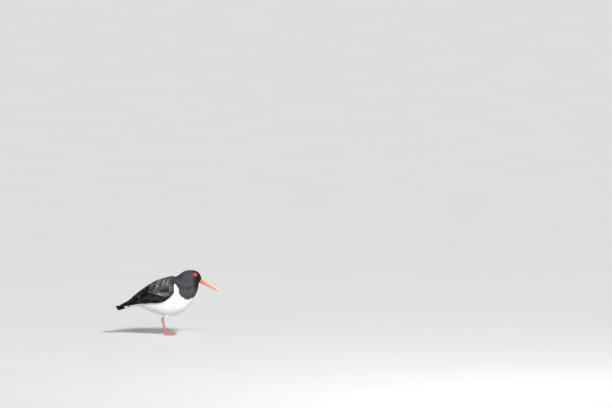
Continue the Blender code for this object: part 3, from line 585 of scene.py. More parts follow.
class Flock:
    """Batches of feathers that become one piece. Where top and underside meet, the shading breaks, so that a
    vane looks flat and thin and not like a pillow."""

    def __init__(self, name):
        """An empty flock."""
        self.name, self.count, self.feathers = name, 0, 0
        self.points, self.corners, self.sizes = [], [], []
        self.bake, self.vane = [], []
        self.values = {key: [] for key in PLUMAGE_VALUES}

    def add(self, form, points, half_width, lengths, tone, places, patch, white=0, shade=0, fringe=0):
        """points is feather, station, column, xyz. A value is one number, or one for each feather, or one for
        each of its stations. The map of a small vane is spread, so that it has as many barbs as a larger
        one."""
        number, rows, columns, _ = points.shape
        corners, sizes, square = feather_faces(form)
        offsets = self.count + np.arange(number)[:, None] * rows * columns
        self.points.append(points.reshape(-1, 3))
        self.corners.append((corners[None] + offsets).ravel())
        self.sizes.append(np.tile(sizes, number))
        self.bake.append((places[:, None] + square[None] * patch).reshape(-1, 2))
        along, across = form["stations"][corners // columns], form["columns"][corners % columns]
        wide = across * form["width"][corners // columns]
        shift = np.modf(tone * 977.0)[0]
        vane = np.stack([wide * half_width[:, None], along * lengths[:, None] + shift[:, None]], axis=-1)
        fine = np.maximum(BARB_HALF / half_width, 1)[:, None, None]
        self.vane.append((vane * fine * MILLIMETRES).reshape(-1, 2))
        grid = np.zeros((number, rows, columns))
        for key, value in (("white", white), ("shade", shade), ("tone", tone), ("fringe", fringe)):
            value = np.atleast_1d(value)
            self.values[key].append((grid + value.reshape(len(value), -1, 1)).ravel())
        self.values["along"].append((grid + form["stations"][:, None]).ravel())
        self.values["across"].append((grid + form["columns"]).ravel())
        self.count += number * rows * columns
        self.feathers += number

    def build(self):
        """All batches in one mesh, with both maps and the kept numbers."""
        sizes = np.concatenate(self.sizes)
        obj = mesh_of(self.name, np.concatenate(self.points), np.concatenate(self.corners), sizes)
        obj.data.set_sharp_from_angle(angle=VANE_EDGE)
        map_of(obj, "OFBake", np.concatenate(self.bake))
        map_of(obj, "vane", np.concatenate(self.vane))
        keep_values(obj, **{key: np.concatenate(values) for key, values in self.values.items()})
        print(self.name, "has", self.feathers, "feathers,", int((sizes - 2).sum()), "triangles")
        return obj


print("numbers kept at every point:", *Flock("empty").values)

# %% [markdown]
# A feather lies along its middle line and bends over whatever is under it. A lattice or a Shrinkwrap could
# bend a flat vane afterwards. Here every column of the vane is looked up on the surface itself, at its own
# distance from the middle line, so that no vane is stretched and none sinks into a curve.

# %% Feathers on a surface
COAT_CAMBER = 0.22


def lay(surface, facing, u, v, half_width, heights, form, camber, tilt=0.0, ragged=0.0):
    """The points of feathers on a surface. u and v are each feather's middle line. A column lies beside it by
    its share of the half width, moved along it where the vane is ragged, both measured on the surface. It is
    raised by the station's height, less the camber times the column squared, plus the tilt times the
    column."""
    along, around, normal = turns_of(surface, u, v, facing)
    line = surface(u, v)
    forward = unit(np.gradient(line, axis=1))
    across = unit(np.cross(normal, forward))
    columns, width = form["columns"], form["width"]
    reach = (half_width[:, None] * width[None])[:, :, None] * columns
    shift = across[:, :, None] * reach[..., None]
    shift = shift + forward[:, :, None] * np.asarray(ragged)[..., None]
    du, dv = steps_for(along[:, :, None], around[:, :, None], shift)
    points = surface(u[:, :, None] + du, v[:, :, None] + dv)
    bend = camber * half_width[:, None, None] * width[None, :, None] * (1 - columns**2)
    rise = heights[:, :, None] + bend + tilt * columns * width[:, None]
    return points + normal[:, :, None] * rise[..., None]


print("a vane of the coat stands", COAT_CAMBER, "of its half width higher in the middle than at its edges")

# %% [markdown]
# Real feathers don't stand at random: their roots form staggered rows, close on the face and wide on the
# belly. Scattered points, as for hair, would leave gaps. So the roots are worked out in rings round the body,
# at equal distances, and only stirred a little so that no ring shows.

# %% Where the coat's feathers start

# section, and the distance between neighbouring roots there
COAT_SPACING = (
    (0, 0.00175), (4, 0.00170), (6, 0.00150), (7.5, 0.00130), (9, 0.00105), (10, 0.00085), (11, 0.00075),
    (12.3, 0.00064), (13, 0.00058),
)
RING_STEP, RING_STIR, ROOT_STIR = 1.35, 0.25, 0.22
RING_READINGS, ROUND_READINGS = 4000, 181
draw = np.random.default_rng(11)


def staggered(count, row, stir, amount):
    """Equal shares of a row, every second row shifted by half a share, all stirred a little."""
    return (np.arange(count) + 0.5 * (row % 2) + stir.uniform(-amount, amount, count)) / count


def coat_roots():
    """Rings where the side line has gone on by a step, and in each ring roots at equal arc lengths."""
    fine = np.linspace(0, LAST_SECTION, RING_READINGS)
    side = body_at(fine, np.full(fine.shape, np.pi / 2))
    run = np.linalg.norm(np.diff(side, axis=0), axis=1) / (RING_STEP * listed(COAT_SPACING, fine[1:]))
    rings = np.interp(np.arange(0, run.sum()), np.concatenate([[0], np.cumsum(run)]), fine)
    gap = np.gradient(rings)
    turn = np.linspace(0, 2 * np.pi, ROUND_READINGS)
    sections, angles, gaps, widths = [], [], [], []
    for i, ring in enumerate(rings):
        ring_points = body_at(np.full(turn.shape, ring), turn)
        arc = np.concatenate([[0], np.cumsum(np.linalg.norm(np.diff(ring_points, axis=0), axis=1))])
        number = int(arc[-1] / listed(COAT_SPACING, ring))
        places = staggered(number, i, draw, ROOT_STIR) % 1
        angles.append(np.interp(places * arc[-1], arc, turn))
        sections.append(ring + gap[i] * draw.uniform(-RING_STIR, RING_STIR, number))
        gaps.append(np.full(number, gap[i]))
        widths.append(np.full(number, arc[-1] / number))
    return [np.concatenate(part) for part in (sections, angles, gaps, widths)]


root_section, root_angle, ring_gap, ring_width = coat_roots()
print(len(root_section), "roots round the body")

# %% [markdown]
# The folded wings lie on a wider form than the body. It could be the body pushed out, but folded wings bridge
# its hollows. So the form has upright sections of its own, each a quarter ellipse over the widest height and
# another below it. A place on it is how far forward it is and the angle from the top. Feathers of the body
# that it hides are left out later.

# %% The form that the wings lie on

# x, top z, z where it is widest, z of the belly that it would close on, half width, lower edge z
WRAP_SECTIONS = (
    (0.0300, 0.2040, 0.1510, 0.0660, 0.0545, 0.1480),
    (0.0150, 0.2025, 0.1490, 0.0640, 0.0565, 0.1375),
    (-0.0050, 0.1985, 0.1450, 0.0640, 0.0570, 0.1265),
    (-0.0300, 0.1910, 0.1390, 0.0720, 0.0550, 0.1180),
    (-0.0600, 0.1770, 0.1310, 0.0860, 0.0480, 0.1135),
    (-0.0900, 0.1570, 0.1220, 0.0930, 0.0375, 0.1080),
    (-0.1200, 0.1340, 0.1135, 0.0960, 0.0265, 0.1030),
    (-0.1500, 0.1140, 0.1060, 0.0980, 0.0165, 0.1030),
)
read_wrap = spline_of([-row[0] for row in WRAP_SECTIONS], WRAP_SECTIONS)
SIDES = ((1, "left"), (-1, "right"))


def wrap_of(side):
    """The wing's form on one side: to the side the half width times the sine, and upwards from the widest
    height the quarter's own rise times the cosine."""

    def surface(x, angle):
        row = read_wrap(-x)
        rise = np.where(np.cos(angle) > 0, row[..., 1] - row[..., 2], row[..., 2] - row[..., 3])
        y = side * row[..., 4] * np.sin(angle)
        return np.stack([x + 0 * angle, y, row[..., 2] + rise * np.cos(angle)], axis=-1)

    return surface


HIDDEN_X, HIDDEN_OVER_EDGE = (-0.118, 0.010), 0.006
HIDDEN_INNER = (-0.11, -0.03, 0.012), (0.004, 0.010, 0.024)


def under_wing(points):
    """True where a folded wing hides a point of the body: behind the wing's bend, above its lower edge and
    outside the line where the shoulder feathers begin."""
    x, y, z = np.moveaxis(points, -1, 0)
    edge = read_wrap(-np.clip(x, WRAP_SECTIONS[-1][0], WRAP_SECTIONS[0][0]))[..., 5]
    behind = (x < HIDDEN_X[1]) & (x > HIDDEN_X[0])
    return behind & (z > edge + HIDDEN_OVER_EDGE) & (np.abs(y) > np.interp(x, *HIDDEN_INNER))


print("the wings' form is", 2000 * max(row[4] for row in WRAP_SECTIONS), "mm wide")

# %% [markdown]
# The eyes sit where the head is widest, and look sideways and a little forward. Typed-in middles would float
# or sink as soon as the head's sections change. So only their place in side view is given, and the point of
# the head's form with that x and z is searched for.

# %% Where the eyes are
EYE_X, EYE_Z = 0.0972, 0.2122
EYE_TURN, EYE_FIRST_GUESS, EYE_TRIES, EYE_EASE = 0.6, (10.0, 1.2), 30, 0.7


def eye_places():
    """For each side the point of the head at the eye's x and z, found in steps of the miss over the slope,
    and the gaze, which turns from straight sideways towards the head's normal there."""
    place = np.array(EYE_FIRST_GUESS)
    for _ in range(EYE_TRIES):
        along, around, normal = turns_of(body_at, place[0], place[1], 1)
        miss = np.array([EYE_X, EYE_Z]) - body_at(place[0], place[1])[[0, 2]]
        changes = np.stack([along[[0, 2]], around[[0, 2]]], axis=1)
        place = place + EYE_EASE * np.linalg.solve(changes, miss)
    found = {}
    for side, word in SIDES:
        point = body_at(place[0], place[1]) * (1, -side, 1)
        gaze = unit((1 - EYE_TURN) * np.array([0, side, 0]) + EYE_TURN * normal * (1, -side, 1))
        found[word] = (point, gaze)
    return found


eyes = eye_places()
print("right eye at", eyes["right"][0].round(4), "looks along", eyes["right"][1].round(2))

# %% [markdown]
# A feather's middle line runs from its root back over the bird. A straight line would leave the form. So the
# line walks a short way at a time, and at each station it works out anew which way is back. A small turn of
# its own sets it apart from its neighbours.

# %% Lines that walk over a surface


def walk(surface, facing, u, v, lengths, stations, turn):
    """Middle lines that run over a surface towards falling u, turned aside by an angle: at each station the
    next short way is worked out anew."""
    us, vs = [u], [v]
    for near, far in zip(stations, stations[1:]):
        along, around, normal = turns_of(surface, u, v, facing)
        ahead = -unit(along)
        way = ahead * np.cos(turn)[:, None] + np.cross(normal, ahead) * np.sin(turn)[:, None]
        du, dv = steps_for(along, around, way * (lengths * (far - near))[:, None])
        u, v = u + du, v + dv
        us.append(u)
        vs.append(v)
    return np.stack(us, axis=1), np.stack(vs, axis=1)


trial, _ = walk(body_at, 1, np.full(1, 8.0), np.ones(1), np.full(1, 0.02), (0, 1), np.zeros(1))
print("20 mm back from section 8 is section", trial[0, 1].round(2))

# %% [markdown]
# Two places of the coat need care. The skin round an eye is bare, so a feather there ends at the ring of its
# lids. And where the neck meets the mantle, the neck's feathers lie over the wings' shoulder feathers. Both
# could be mended by hand. A distance and a rise for every feather do it for all at once.

# %% Room for the eyes, and the rise to the mantle
FAR_AWAY, EYE_BEHIND = 1.0, -0.008
MANTLE_FRONT, MANTLE_DROP, MANTLE_COVER, MANTLE_LOW = 0.022, 0.60, 0.0021, (0.182, 0.190)
MANTLE_MOST, MANTLE_RUN = 0.009, 0.004


def from_eyes(points):
    """The distance to the nearer eye's line of sight, large on the far side of the head."""
    nearest = np.full(points.shape[:-1], FAR_AWAY)
    for point, gaze in eyes.values():
        away = points - point
        ahead = dot(away, gaze)
        aside = np.linalg.norm(away - ahead[..., None] * gaze, axis=-1)
        nearest = np.minimum(nearest, np.where(ahead > EYE_BEHIND, aside, FAR_AWAY))
    return nearest


def over_mantle(points, upward):
    """How far the feathers that start ahead of the mantle rise to lie over it: the way up from the point to
    the wings' form and a little more, less a slope that falls forwards, times the normal's upward part."""
    x, y, z = np.moveaxis(points, -1, 0)
    row = read_wrap(-x)
    quarter = np.sqrt(np.clip(1 - (y / row[..., 4]) ** 2, 0, 1))
    top = row[..., 2] + (row[..., 1] - row[..., 2]) * quarter - MANTLE_DROP * np.clip(x - MANTLE_FRONT, 0, 1)
    rise = np.clip(top + MANTLE_COVER - z, 0, MANTLE_MOST) * step(z, *MANTLE_LOW)
    return rise * upward * step(x[:, :1], MANTLE_FRONT, MANTLE_FRONT + MANTLE_RUN)


print("4 mm over the eye it is", from_eyes(eyes["left"][0] + [0, 0, 0.004]).round(4), "m off the gaze")

# %% [markdown]
# On the bird each feather lies over the next like a roof's tiles. Hair would give fur and no tiles. So every
# feather of a region is laid as a vane whose middle line rises from the skin to the coat's outer face.
# Lengths, widths and turns differ a little, and a few feathers stand off as if the wind had stirred them.

# %% One batch of the coat
LIE_STIR, LOOSE_SHARE, LOOSE_LIFT, COMMON_LIFT = 0.13, 0.04, 0.45, 0.22
OVERLAP, LEAST_LENGTH, WIDE, SIZE_STIR = 4.6, 3.5, 0.80, (0.85, 1.15)
BARE_RING, LEAST_REACH, ROOT_DEPTH, RAGGED_TIP = 0.0059, 0.4, 0.9, (-0.10, 0.06)


def coat_batch(pick, form, flock, white):
    """Lays the picked roots' feathers: each as long as a few rings, wider than a gap, rising from the skin to
    the coat's face by one minus the square of what is left."""
    section, angle, gap, width = (part[pick] for part in (root_section, root_angle, ring_gap, ring_width))
    along, _, _ = turns_of(body_at, section, angle, 1)
    lengths = OVERLAP * gap * np.linalg.norm(along, axis=-1)
    lengths = np.maximum(lengths, LEAST_LENGTH * width) * draw.uniform(*SIZE_STIR, len(section))
    turn = draw.normal(0, LIE_STIR, len(section))
    u, v = walk(body_at, 1, section, angle, lengths, form["stations"], turn)
    free = from_eyes(body_at(u, v))
    reach = np.where(np.minimum.accumulate(free, axis=1) > BARE_RING, form["stations"], 0).max(axis=1)
    keep = reach > LEAST_REACH
    section, angle, turn, width = section[keep], angle[keep], turn[keep], width[keep]
    lengths = (lengths * reach)[keep]
    u, v = walk(body_at, 1, section, angle, lengths, form["stations"], turn)
    number = len(section)
    half_width = WIDE * width * draw.uniform(*SIZE_STIR, number)
    loose = draw.uniform(0, 1, number) < LOOSE_SHARE
    coat = listed(COAT_DEPTH, section)
    lift = (draw.uniform(0, COMMON_LIFT, number) + LOOSE_LIFT * loose) * coat
    rise = 1 - (1 - form["stations"]) ** 2
    depth = ROOT_DEPTH * coat[:, None]
    middle = body_at(u, v)
    heights = -depth + (depth + lift[:, None] * form["stations"] ** 2) * rise - fold_of(middle)
    heights = heights + over_mantle(middle, turns_of(body_at, u, v, 1)[2][..., 2])
    ragged = np.zeros((number, len(form["stations"]), len(form["columns"])))
    ragged[:, -1] = draw.uniform(*RAGGED_TIP, ragged[:, -1].shape) * lengths[:, None]
    points = lay(body_at, 1, u, v, half_width, heights, form, COAT_CAMBER, ragged=ragged)
    places = 0.01 + 0.975 * np.stack([section / LAST_SECTION, angle % (2 * np.pi) / (2 * np.pi)], axis=1)
    # each feather takes the painted sheen at a point near its tip
    shade, tones = painted_sheen_of(middle[:, -2]), draw.uniform(0, 1, number)
    flock.add(form, points, half_width, lengths, tones, places, SMALL_PATCH, white, shade)


print("a feather is", OVERLAP, "rings long, and one in", round(1 / LOOSE_SHARE), "stands off")

# %% [markdown]
# One mesh of all the coat's feathers would be too large to open with ease. So the coat is seven pieces, cut
# by section and by colour. A feather is black or white by where its tip shows, not its root, and one that the
# folded wings hide at root and tip is left out.

# %% The coat's seven pieces
TIP_REACH = 4.0

# first section, last section, white or not, outline of its feathers
COAT_REGIONS = {
    "coat_face": (10.4, 14, 0, SMALL_FORM), "coat_head": (9.0, 10.4, 0, SMALL_FORM),
    "coat_neck": (7.3, 9.0, 0, BODY_FORM), "coat_bib": (5.2, 7.3, 0, BODY_FORM),
    "coat_back": (0, 5.2, 0, BODY_FORM), "coat_breast": (4.2, 14, 1, BODY_FORM),
    "coat_belly": (0, 4.2, 1, BODY_FORM),
}
tip_u, tip_v = walk(body_at, 1, root_section, root_angle, TIP_REACH * ring_width, (0, 1), 0 * ring_width)
visible_part = body_at(tip_u[:, 1], tip_v[:, 1])
is_white = whiteness(visible_part) > 0.5
shown = ~under_wing(visible_part) | ~under_wing(body_at(root_section, root_angle))
for name, (first, last, white, form) in COAT_REGIONS.items():
    here = (root_section >= first) & (root_section < last) & (is_white == bool(white))
    flock = Flock(name)
    coat_batch(here & shown, form, flock, white)
    piece(flock.build(), feather_finish, "white_plumage" if white else "black_plumage")

# %% [markdown]
# At the bill's root the feathers are smallest. They start on the bill itself and lie back over the rim where
# skin and horn meet. The coat's rings could be drawn out so far, but they would lean off the head. So a short
# funnel between the head and the bill's outline carries seven rings of its own.

# %% The feathers round the bill's root
BILL_BASE = np.array([0.1145, 0.0, 0.1895])
BILL_PITCH, BILL_LENGTH = math.radians(27.8), 0.0752
COLLAR_AHEAD, COLLAR_FROM, COLLAR_RINGS, COLLAR_ROUND, COLLAR_END = 0.0016, 12.2, 7, 60, 0.35
COLLAR_HALF, COLLAR_ABOVE, COLLAR_BELOW = 0.0053, 0.0078, 0.0066
# the collar's short feathers get little painted sheen
COLLAR_LENGTH, COLLAR_WIDTH, COLLAR_SINK, COLLAR_RISE, COLLAR_PAINTED_SHEEN = 0.0021, 0.00048, 0.0004, 0.0005, 0.1


def bill_frame(x, y, z):
    """Points of the bill, given along it, across it and above its mouth line, turned down by its pitch."""
    cosine, sine = math.cos(BILL_PITCH), math.sin(BILL_PITCH)
    return BILL_BASE + np.stack([x * cosine + z * sine, y + 0 * x, z * cosine - x * sine], axis=-1)


def collar_at(share, angle):
    """From a ring of the body a little behind the bill, at 0, to the bill's own outline a little ahead of its
    root, at 1, on straight lines. Below 0 the lines go on over the face."""
    half = np.where(np.cos(angle) > 0, COLLAR_ABOVE, COLLAR_BELOW)
    rim = bill_frame(COLLAR_AHEAD + 0 * share, -COLLAR_HALF * np.sin(angle), half * np.cos(angle))
    return rim + (body_at(COLLAR_FROM + 0 * share, angle) - rim) * (1 - share)[..., None]


def build_collar():
    """Rings from the rim back to the face, each feather walking back over the next ring's roots."""
    stir = np.random.default_rng(3)
    share = np.repeat(np.linspace(1.0, COLLAR_END, COLLAR_RINGS), COLLAR_ROUND)
    ring = np.arange(COLLAR_RINGS * COLLAR_ROUND)
    angle = 2 * np.pi * (ring % COLLAR_ROUND + 0.5 * (ring // COLLAR_ROUND % 2)) / COLLAR_ROUND
    angle = angle + stir.uniform(-0.03, 0.03, len(ring))
    stations = SMALL_FORM["stations"]
    lengths = COLLAR_LENGTH * stir.uniform(*SIZE_STIR, len(ring))
    turn = stir.normal(0, 0.12, len(ring))
    u, v = walk(collar_at, 1, share, angle, lengths, stations, turn)
    heights = -COLLAR_SINK + COLLAR_RISE * (1 - (1 - stations) ** 2) + 0 * u
    half_width = np.full(len(ring), COLLAR_WIDTH)
    points = lay(collar_at, 1, u, v, half_width, heights, SMALL_FORM, COAT_CAMBER)
    places = np.stack([0.02 + 0.9 * share, 0.02 + 0.9 * (angle / (2 * np.pi) % 1)], axis=1)
    tones = stir.uniform(0, 1, len(ring))
    flock = Flock("coat_collar")
    flock.add(SMALL_FORM, points, half_width, lengths, tones, places, 0.01, shade=COLLAR_PAINTED_SHEEN)
    return flock.build()


piece(build_collar(), feather_finish, "black_plumage")

# %% [markdown]
# The wing under its feathers is a thin slab of black skin, round in front where the wrist bends. A copy of
# the solid wing could serve, but its vanes would cross the new ones. So two sheets are read off the wings'
# form, one close under the feathers and one deeper, and joined into one closed surface.

# %% The wing's slab
WING_FRONT, WING_REAR = 0.0245, -0.1180
WING_TOP_FRONT, WING_TOP_REAR, WING_TOP_RUN = math.radians(34), math.radians(4), 1 / 3
BEND_LENGTH, BEND_Z, BEND_BLUNT, BEND_SINK = 0.0240, 0.1560, 0.30, 0.0035
# the slab gets a little painted sheen
SLAB_ROWS, SLAB_COLUMNS, SLAB_PAINTED_SHEEN = 60, 24, 0.2
SLAB_LIFT, SLAB_DEPTH, SLAB_TAPER = -0.0024, (0.0100, 0.0026), 0.45


def wing_edges(x):
    """The wing's upper and lower angle at x, and how far round the bend x is, 1 at the foremost point, where
    both angles close in on one height as a quarter ellipse."""
    row = read_wrap(-x)
    share = (WING_FRONT - x) / (WING_FRONT - WING_REAR)
    top = WING_TOP_FRONT + (WING_TOP_REAR - WING_TOP_FRONT) * np.clip(share / WING_TOP_RUN, 0, 1)
    low = np.arccos(np.clip((row[..., 5] - row[..., 2]) / (row[..., 2] - row[..., 3]), -0.98, 1))
    rise = np.where(BEND_Z > row[..., 2], row[..., 1] - row[..., 2], row[..., 2] - row[..., 3])
    middle = np.arccos(np.clip((BEND_Z - row[..., 2]) / rise, -1, 1))
    ahead = np.clip(1 - (WING_FRONT - x) / BEND_LENGTH, 0, 1)
    spread = BEND_BLUNT + (1 - BEND_BLUNT) * np.sqrt(1 - ahead**2)
    return middle + (top - middle) * spread, middle + (low - middle) * spread, ahead


def build_slab(side, word):
    """Two sheets over the wing's form, one just under the feathers and one deeper, joined into a ring at
    every section. The sections crowd towards the round front by the square of their share. The rear end
    draws in under the flight feathers."""
    share = np.linspace(0, 1, SLAB_ROWS) ** 2
    x = WING_FRONT + (WING_REAR - WING_FRONT) * share
    top, low, ahead = wing_edges(x)
    low = low - SLAB_TAPER * step(share, 0.7, 1.0)
    half = np.linspace(0, 1, SLAB_COLUMNS // 2)
    round_ = np.concatenate([half, half[::-1]])
    outer = np.repeat([True, False], SLAB_COLUMNS // 2)
    angle = top[:, None] + (low - top)[:, None] * round_
    surface = wrap_of(side)
    grid_x = x[:, None] + 0 * angle
    _, _, normal = turns_of(surface, grid_x, angle, -side)
    depth = SLAB_DEPTH[0] + (SLAB_DEPTH[1] - SLAB_DEPTH[0]) * share[:, None]
    height = np.where(outer, SLAB_LIFT - BEND_SINK * ahead[:, None] ** 2, -depth)
    points = surface(grid_x, angle) + normal * height[..., None]
    corners, sizes = grid_faces(SLAB_ROWS, SLAB_COLUMNS, side < 0)
    obj = mesh_of(f"wing_skin_{word}", points, corners, sizes)
    row, column = corners // SLAB_COLUMNS, corners % SLAB_COLUMNS
    flat_maps(obj, points, corners, row / SLAB_ROWS, column / SLAB_COLUMNS)
    keep_values(obj, shade=SLAB_PAINTED_SHEEN, tone=SKIN_TONE)
    return obj


for side, word in SIDES:
    piece(build_slab(side, word), feather_finish, "black_plumage", f"wing_{word}")

# %% [markdown]
# Old feathers are worn pale at their edges, and here the light's glints on those edges are painted in with
# the wear. On this wing they make two flecked bands with a dark patch between them. Each feather's wear could
# be drawn by chance, but then no bands would show. A few bell curves in side view say how worn and glinting a
# feather is at its place, and chance only makes neighbours differ.

# %% Where the wing is flecked with wear and painted glints

# the bands of wear and painted glints in side view: x, z, reach in x, reach in z, strength
WEAR_AND_GLINT_PATCHES = (
    (-0.012, 0.184, 0.028, 0.0110, 1.00), (-0.042, 0.172, 0.020, 0.0110, 0.60),
    (0.014, 0.170, 0.010, 0.0160, 0.75), (-0.012, 0.147, 0.028, 0.0075, 0.95),
    (-0.064, 0.146, 0.010, 0.0055, 0.60),
)


def wear_and_glint_of(points):
    """How pale a feather's fringe is at a place, from wear and from painted glints: the largest of a few bell
    curves in x and z, which leave the dark patch at the wing's middle and the plain flight feathers between
    and below them."""
    found = np.zeros(points.shape[:-1])
    for x, z, wide, high, strength in WEAR_AND_GLINT_PATCHES:
        away = ((points[..., 0] - x) / wide) ** 2 + ((points[..., 2] - z) / high) ** 2
        found = np.maximum(found, strength * np.exp(-(away**1.5)))
    return found


print("wear in the upper band:", wear_and_glint_of(np.array([-0.012, 0.05, 0.184])), "of 1")

# %% [markdown]
# A folded wing is a pile of tiers: the long primaries at the bottom, then the secondaries, their rows of
# coverts, the broad tertials, and the shoulder feathers over all. Each quill could be placed by hand. But
# within a tier the quills turn evenly from the first to the last, so a tier is one line of numbers.

# %% The tiers of the folded wing

# how far neighbours are staggered, and for each tier: count, first root, last root, first tip, last tip (each
# x and degrees from the top), half width, how deep the roots lie under the form, lift over the form, painted
# sheen, high on the upper tiers where the light falls and low on the flight feathers and on the rear ones in
# shade
WING_TIERS = {
    "wing_quills": (0.0, (
        (9, (-0.055, 76), (-0.055, 106), (-0.128, 34), (-0.164, 84), 0.0058, 0.0034, -0.0008, 0.00),
        (10, (-0.045, 88), (0.000, 101), (-0.108, 96), (-0.048, 107), 0.0064, 0.0034, -0.0004, 0.00),
    )),
    "wing_coverts": (0.04, (
        (17, (-0.045, 64), (0.012, 90), (-0.086, 80), (-0.020, 106), 0.0052, 0.0034, 0.0002, 0.20),
        (7, (-0.030, 3), (-0.030, 62), (-0.125, 5), (-0.098, 74), 0.0092, 0.0034, 0.0004, 0.02),
        (18, (-0.030, 50), (0.017, 80), (-0.060, 64), (-0.004, 98), 0.0047, 0.0034, 0.0009, 0.80),
    )),
    "wing_shoulder": (0.13, (
        (10, (-0.012, 1), (-0.020, 46), (-0.074, 2), (-0.094, 50), 0.0066, 0.0034, 0.0009, 0.04),
        (11, (0.000, 2), (-0.008, 52), (-0.050, 2), (-0.068, 56), 0.0060, 0.0040, 0.0013, 0.45),
        (11, (0.010, 3), (0.004, 58), (-0.030, 3), (-0.044, 61), 0.0054, 0.0060, 0.0017, 1.00),
        (11, (0.021, 5), (0.013, 62), (-0.010, 4), (-0.022, 65), 0.0048, 0.0090, 0.0020, 1.15),
        (10, (0.031, 4), (0.024, 50), (0.006, 4), (-0.004, 54), 0.0041, 0.0120, 0.0022, 1.15),
    )),
}
print("quills on each wing:", sum(tier[0] for _, tiers in WING_TIERS.values() for tier in tiers))

# %% [markdown]
# A quill starts inside the wing, rises to its tier's level and lies flat from there on. Each could have a
# curve of its own. A sine within half of its length does for all, and a small tilt lays every vane's edge on
# its neighbour.

# %% Quills laid tier by tier
QUILL_TILT, QUILL_CAMBER, QUILL_SHAFT, QUILL_RISEN, WEAR_AND_GLINT_LEAST = 0.0004, 0.035, 0.00018, 0.55, 0.06
NOTCH, NOTCH_FROM, CELL_STEP, CELL_SIZE = (-0.014, 0.010), 0.75, (0.054, 0.16), (0.050, 0.15)


def tier_batch(side, tier, index, stagger, flock, stir):
    """One row of quills from the first to the last, their middle lines straight in x and angle, every second
    one shorter by the stagger. A quill rises from the slab as a sine within half of its length. Its bake
    patch is a cell of its own in a grid of cells."""
    count, first_root, last_root, first_tip, last_tip, half, sink, lift, shade = tier
    share = np.linspace(0, 1, count)[:, None]
    root = np.array(first_root) * (1 - share) + np.array(last_root) * share
    tip = np.array(first_tip) * (1 - share) + np.array(last_tip) * share
    uneven = (0.03 + 0.4 * stagger) * stir.uniform(-1, 1, count) - stagger * (np.arange(count) % 2)
    tip[:, 0] += (tip - root)[:, 0] * uneven
    tip[:, 1] += stir.uniform(-0.6, 0.6, count)
    stations = QUILL_FORM["stations"]
    line = root[:, None] + (tip - root)[:, None] * stations[:, None]
    x, angle = line[..., 0], np.radians(line[..., 1])
    surface = wrap_of(side)
    lengths = np.linalg.norm(surface(x[:, -1], angle[:, -1]) - surface(x[:, 0], angle[:, 0]), axis=1)
    half_width = half * stir.uniform(0.95, 1.05, count)
    high = lift + (0.00008 + 0.0012 * stagger) * stir.uniform(-1, 1, count) + 0.00025 * (side > 0)
    rise = np.sin(np.pi / 2 * np.clip(stations / QUILL_RISEN, 0, 1))
    heights = -sink + (high[:, None] + sink) * rise
    notch = lengths[:, None, None] * stir.uniform(*NOTCH, (count, 1, len(QUILL_FORM["columns"])))
    ragged = notch * np.clip((stations[:, None] - NOTCH_FROM) / (1 - NOTCH_FROM), 0, 1)
    tilt = side * QUILL_TILT
    points = lay(surface, -side, x, angle, half_width, heights, QUILL_FORM, QUILL_CAMBER, tilt, ragged)
    shaft = QUILL_SHAFT * (np.abs(QUILL_FORM["columns"]) < 0.01) * (1 - 0.8 * stations[:, None])
    _, _, normal = turns_of(surface, x, angle, -side)
    points = points + normal[:, :, None] * shaft[None, ..., None]
    cells = 0.01 + np.stack([np.arange(count) * CELL_STEP[0], np.full(count, index * CELL_STEP[1])], axis=1)
    # the fringe's wear and painted glints, and the tier's painted sheen, stirred from quill to quill
    wear_and_glint = (WEAR_AND_GLINT_LEAST + wear_and_glint_of(surface(x[:, -3], angle[:, -3]))) * stir.uniform(0.55, 1.1, count)
    shade, tones = shade * stir.uniform(0.7, 1.2, count), stir.uniform(0, 1, count)
    flock.add(
        QUILL_FORM, points, half_width, lengths, tones, cells, np.array(CELL_SIZE),
        shade=shade, fringe=np.minimum(wear_and_glint, 1),
    )


def build_tiers(name, side, stagger, tiers):
    """All tiers of one kind on one wing, as one piece."""
    stir = np.random.default_rng(7)
    flock = Flock(name)
    for index, tier in enumerate(tiers):
        tier_batch(side, tier, index, stagger, flock, stir)
    return flock.build()


for side, word in SIDES:
    for name, (stagger, tiers) in WING_TIERS.items():
        piece(build_tiers(f"{name}_{word}", side, stagger, tiers), feather_finish, "black_plumage")

# %% [markdown]
# The small coverts at the wing's bend are too many for tiers, and they turn round the bend. They start on a
# staggered grid over the front of the wing and walk back and slightly down, like the coat's feathers.

# %% The small coverts
LESSER_X, LESSER_STEP = (0.0240, -0.0200), 0.0021
LESSER_TOP = (-0.020, 0.004, 0.016, 0.024), (57, 55, 44, 32)
LESSER_LOW = (-0.020, -0.010, 0.000, 0.020), (66, 84, 114, 132)
LESSER_LENGTHS, LESSER_WIDTH, LESSER_TURN, LESSER_CAMBER = (0.0150, 0.0080), 0.0019, 0.20, 0.09
LESSER_SINK, LESSER_LIFT, LESSER_MORE, LESSER_MORE_FROM = 0.0022, 0.0009, 0.0007, (60, 68)


def lesser_roots(stir):
    """Rows at equal steps of x between the wing's upper and lower edges, each root a step round the form from
    the next."""
    xs, angles = [], []
    for i, x in enumerate(np.arange(LESSER_X[0], LESSER_X[1], -LESSER_STEP)):
        top, low, _ = (float(value) for value in wing_edges(np.array(x)))
        top = max(top, math.radians(np.interp(x, *LESSER_TOP))) + 0.02
        low = min(low, math.radians(np.interp(x, *LESSER_LOW))) - 0.01
        count = max(2, int((low - top) * float(read_wrap(-x)[4]) / (LESSER_STEP * 1.05)))
        angles.append(top + (low - top) * staggered(count, i, stir, 0.2))
        xs.append(x + stir.uniform(-0.25, 0.25, count) * LESSER_STEP)
    return np.concatenate(xs), np.concatenate(angles)


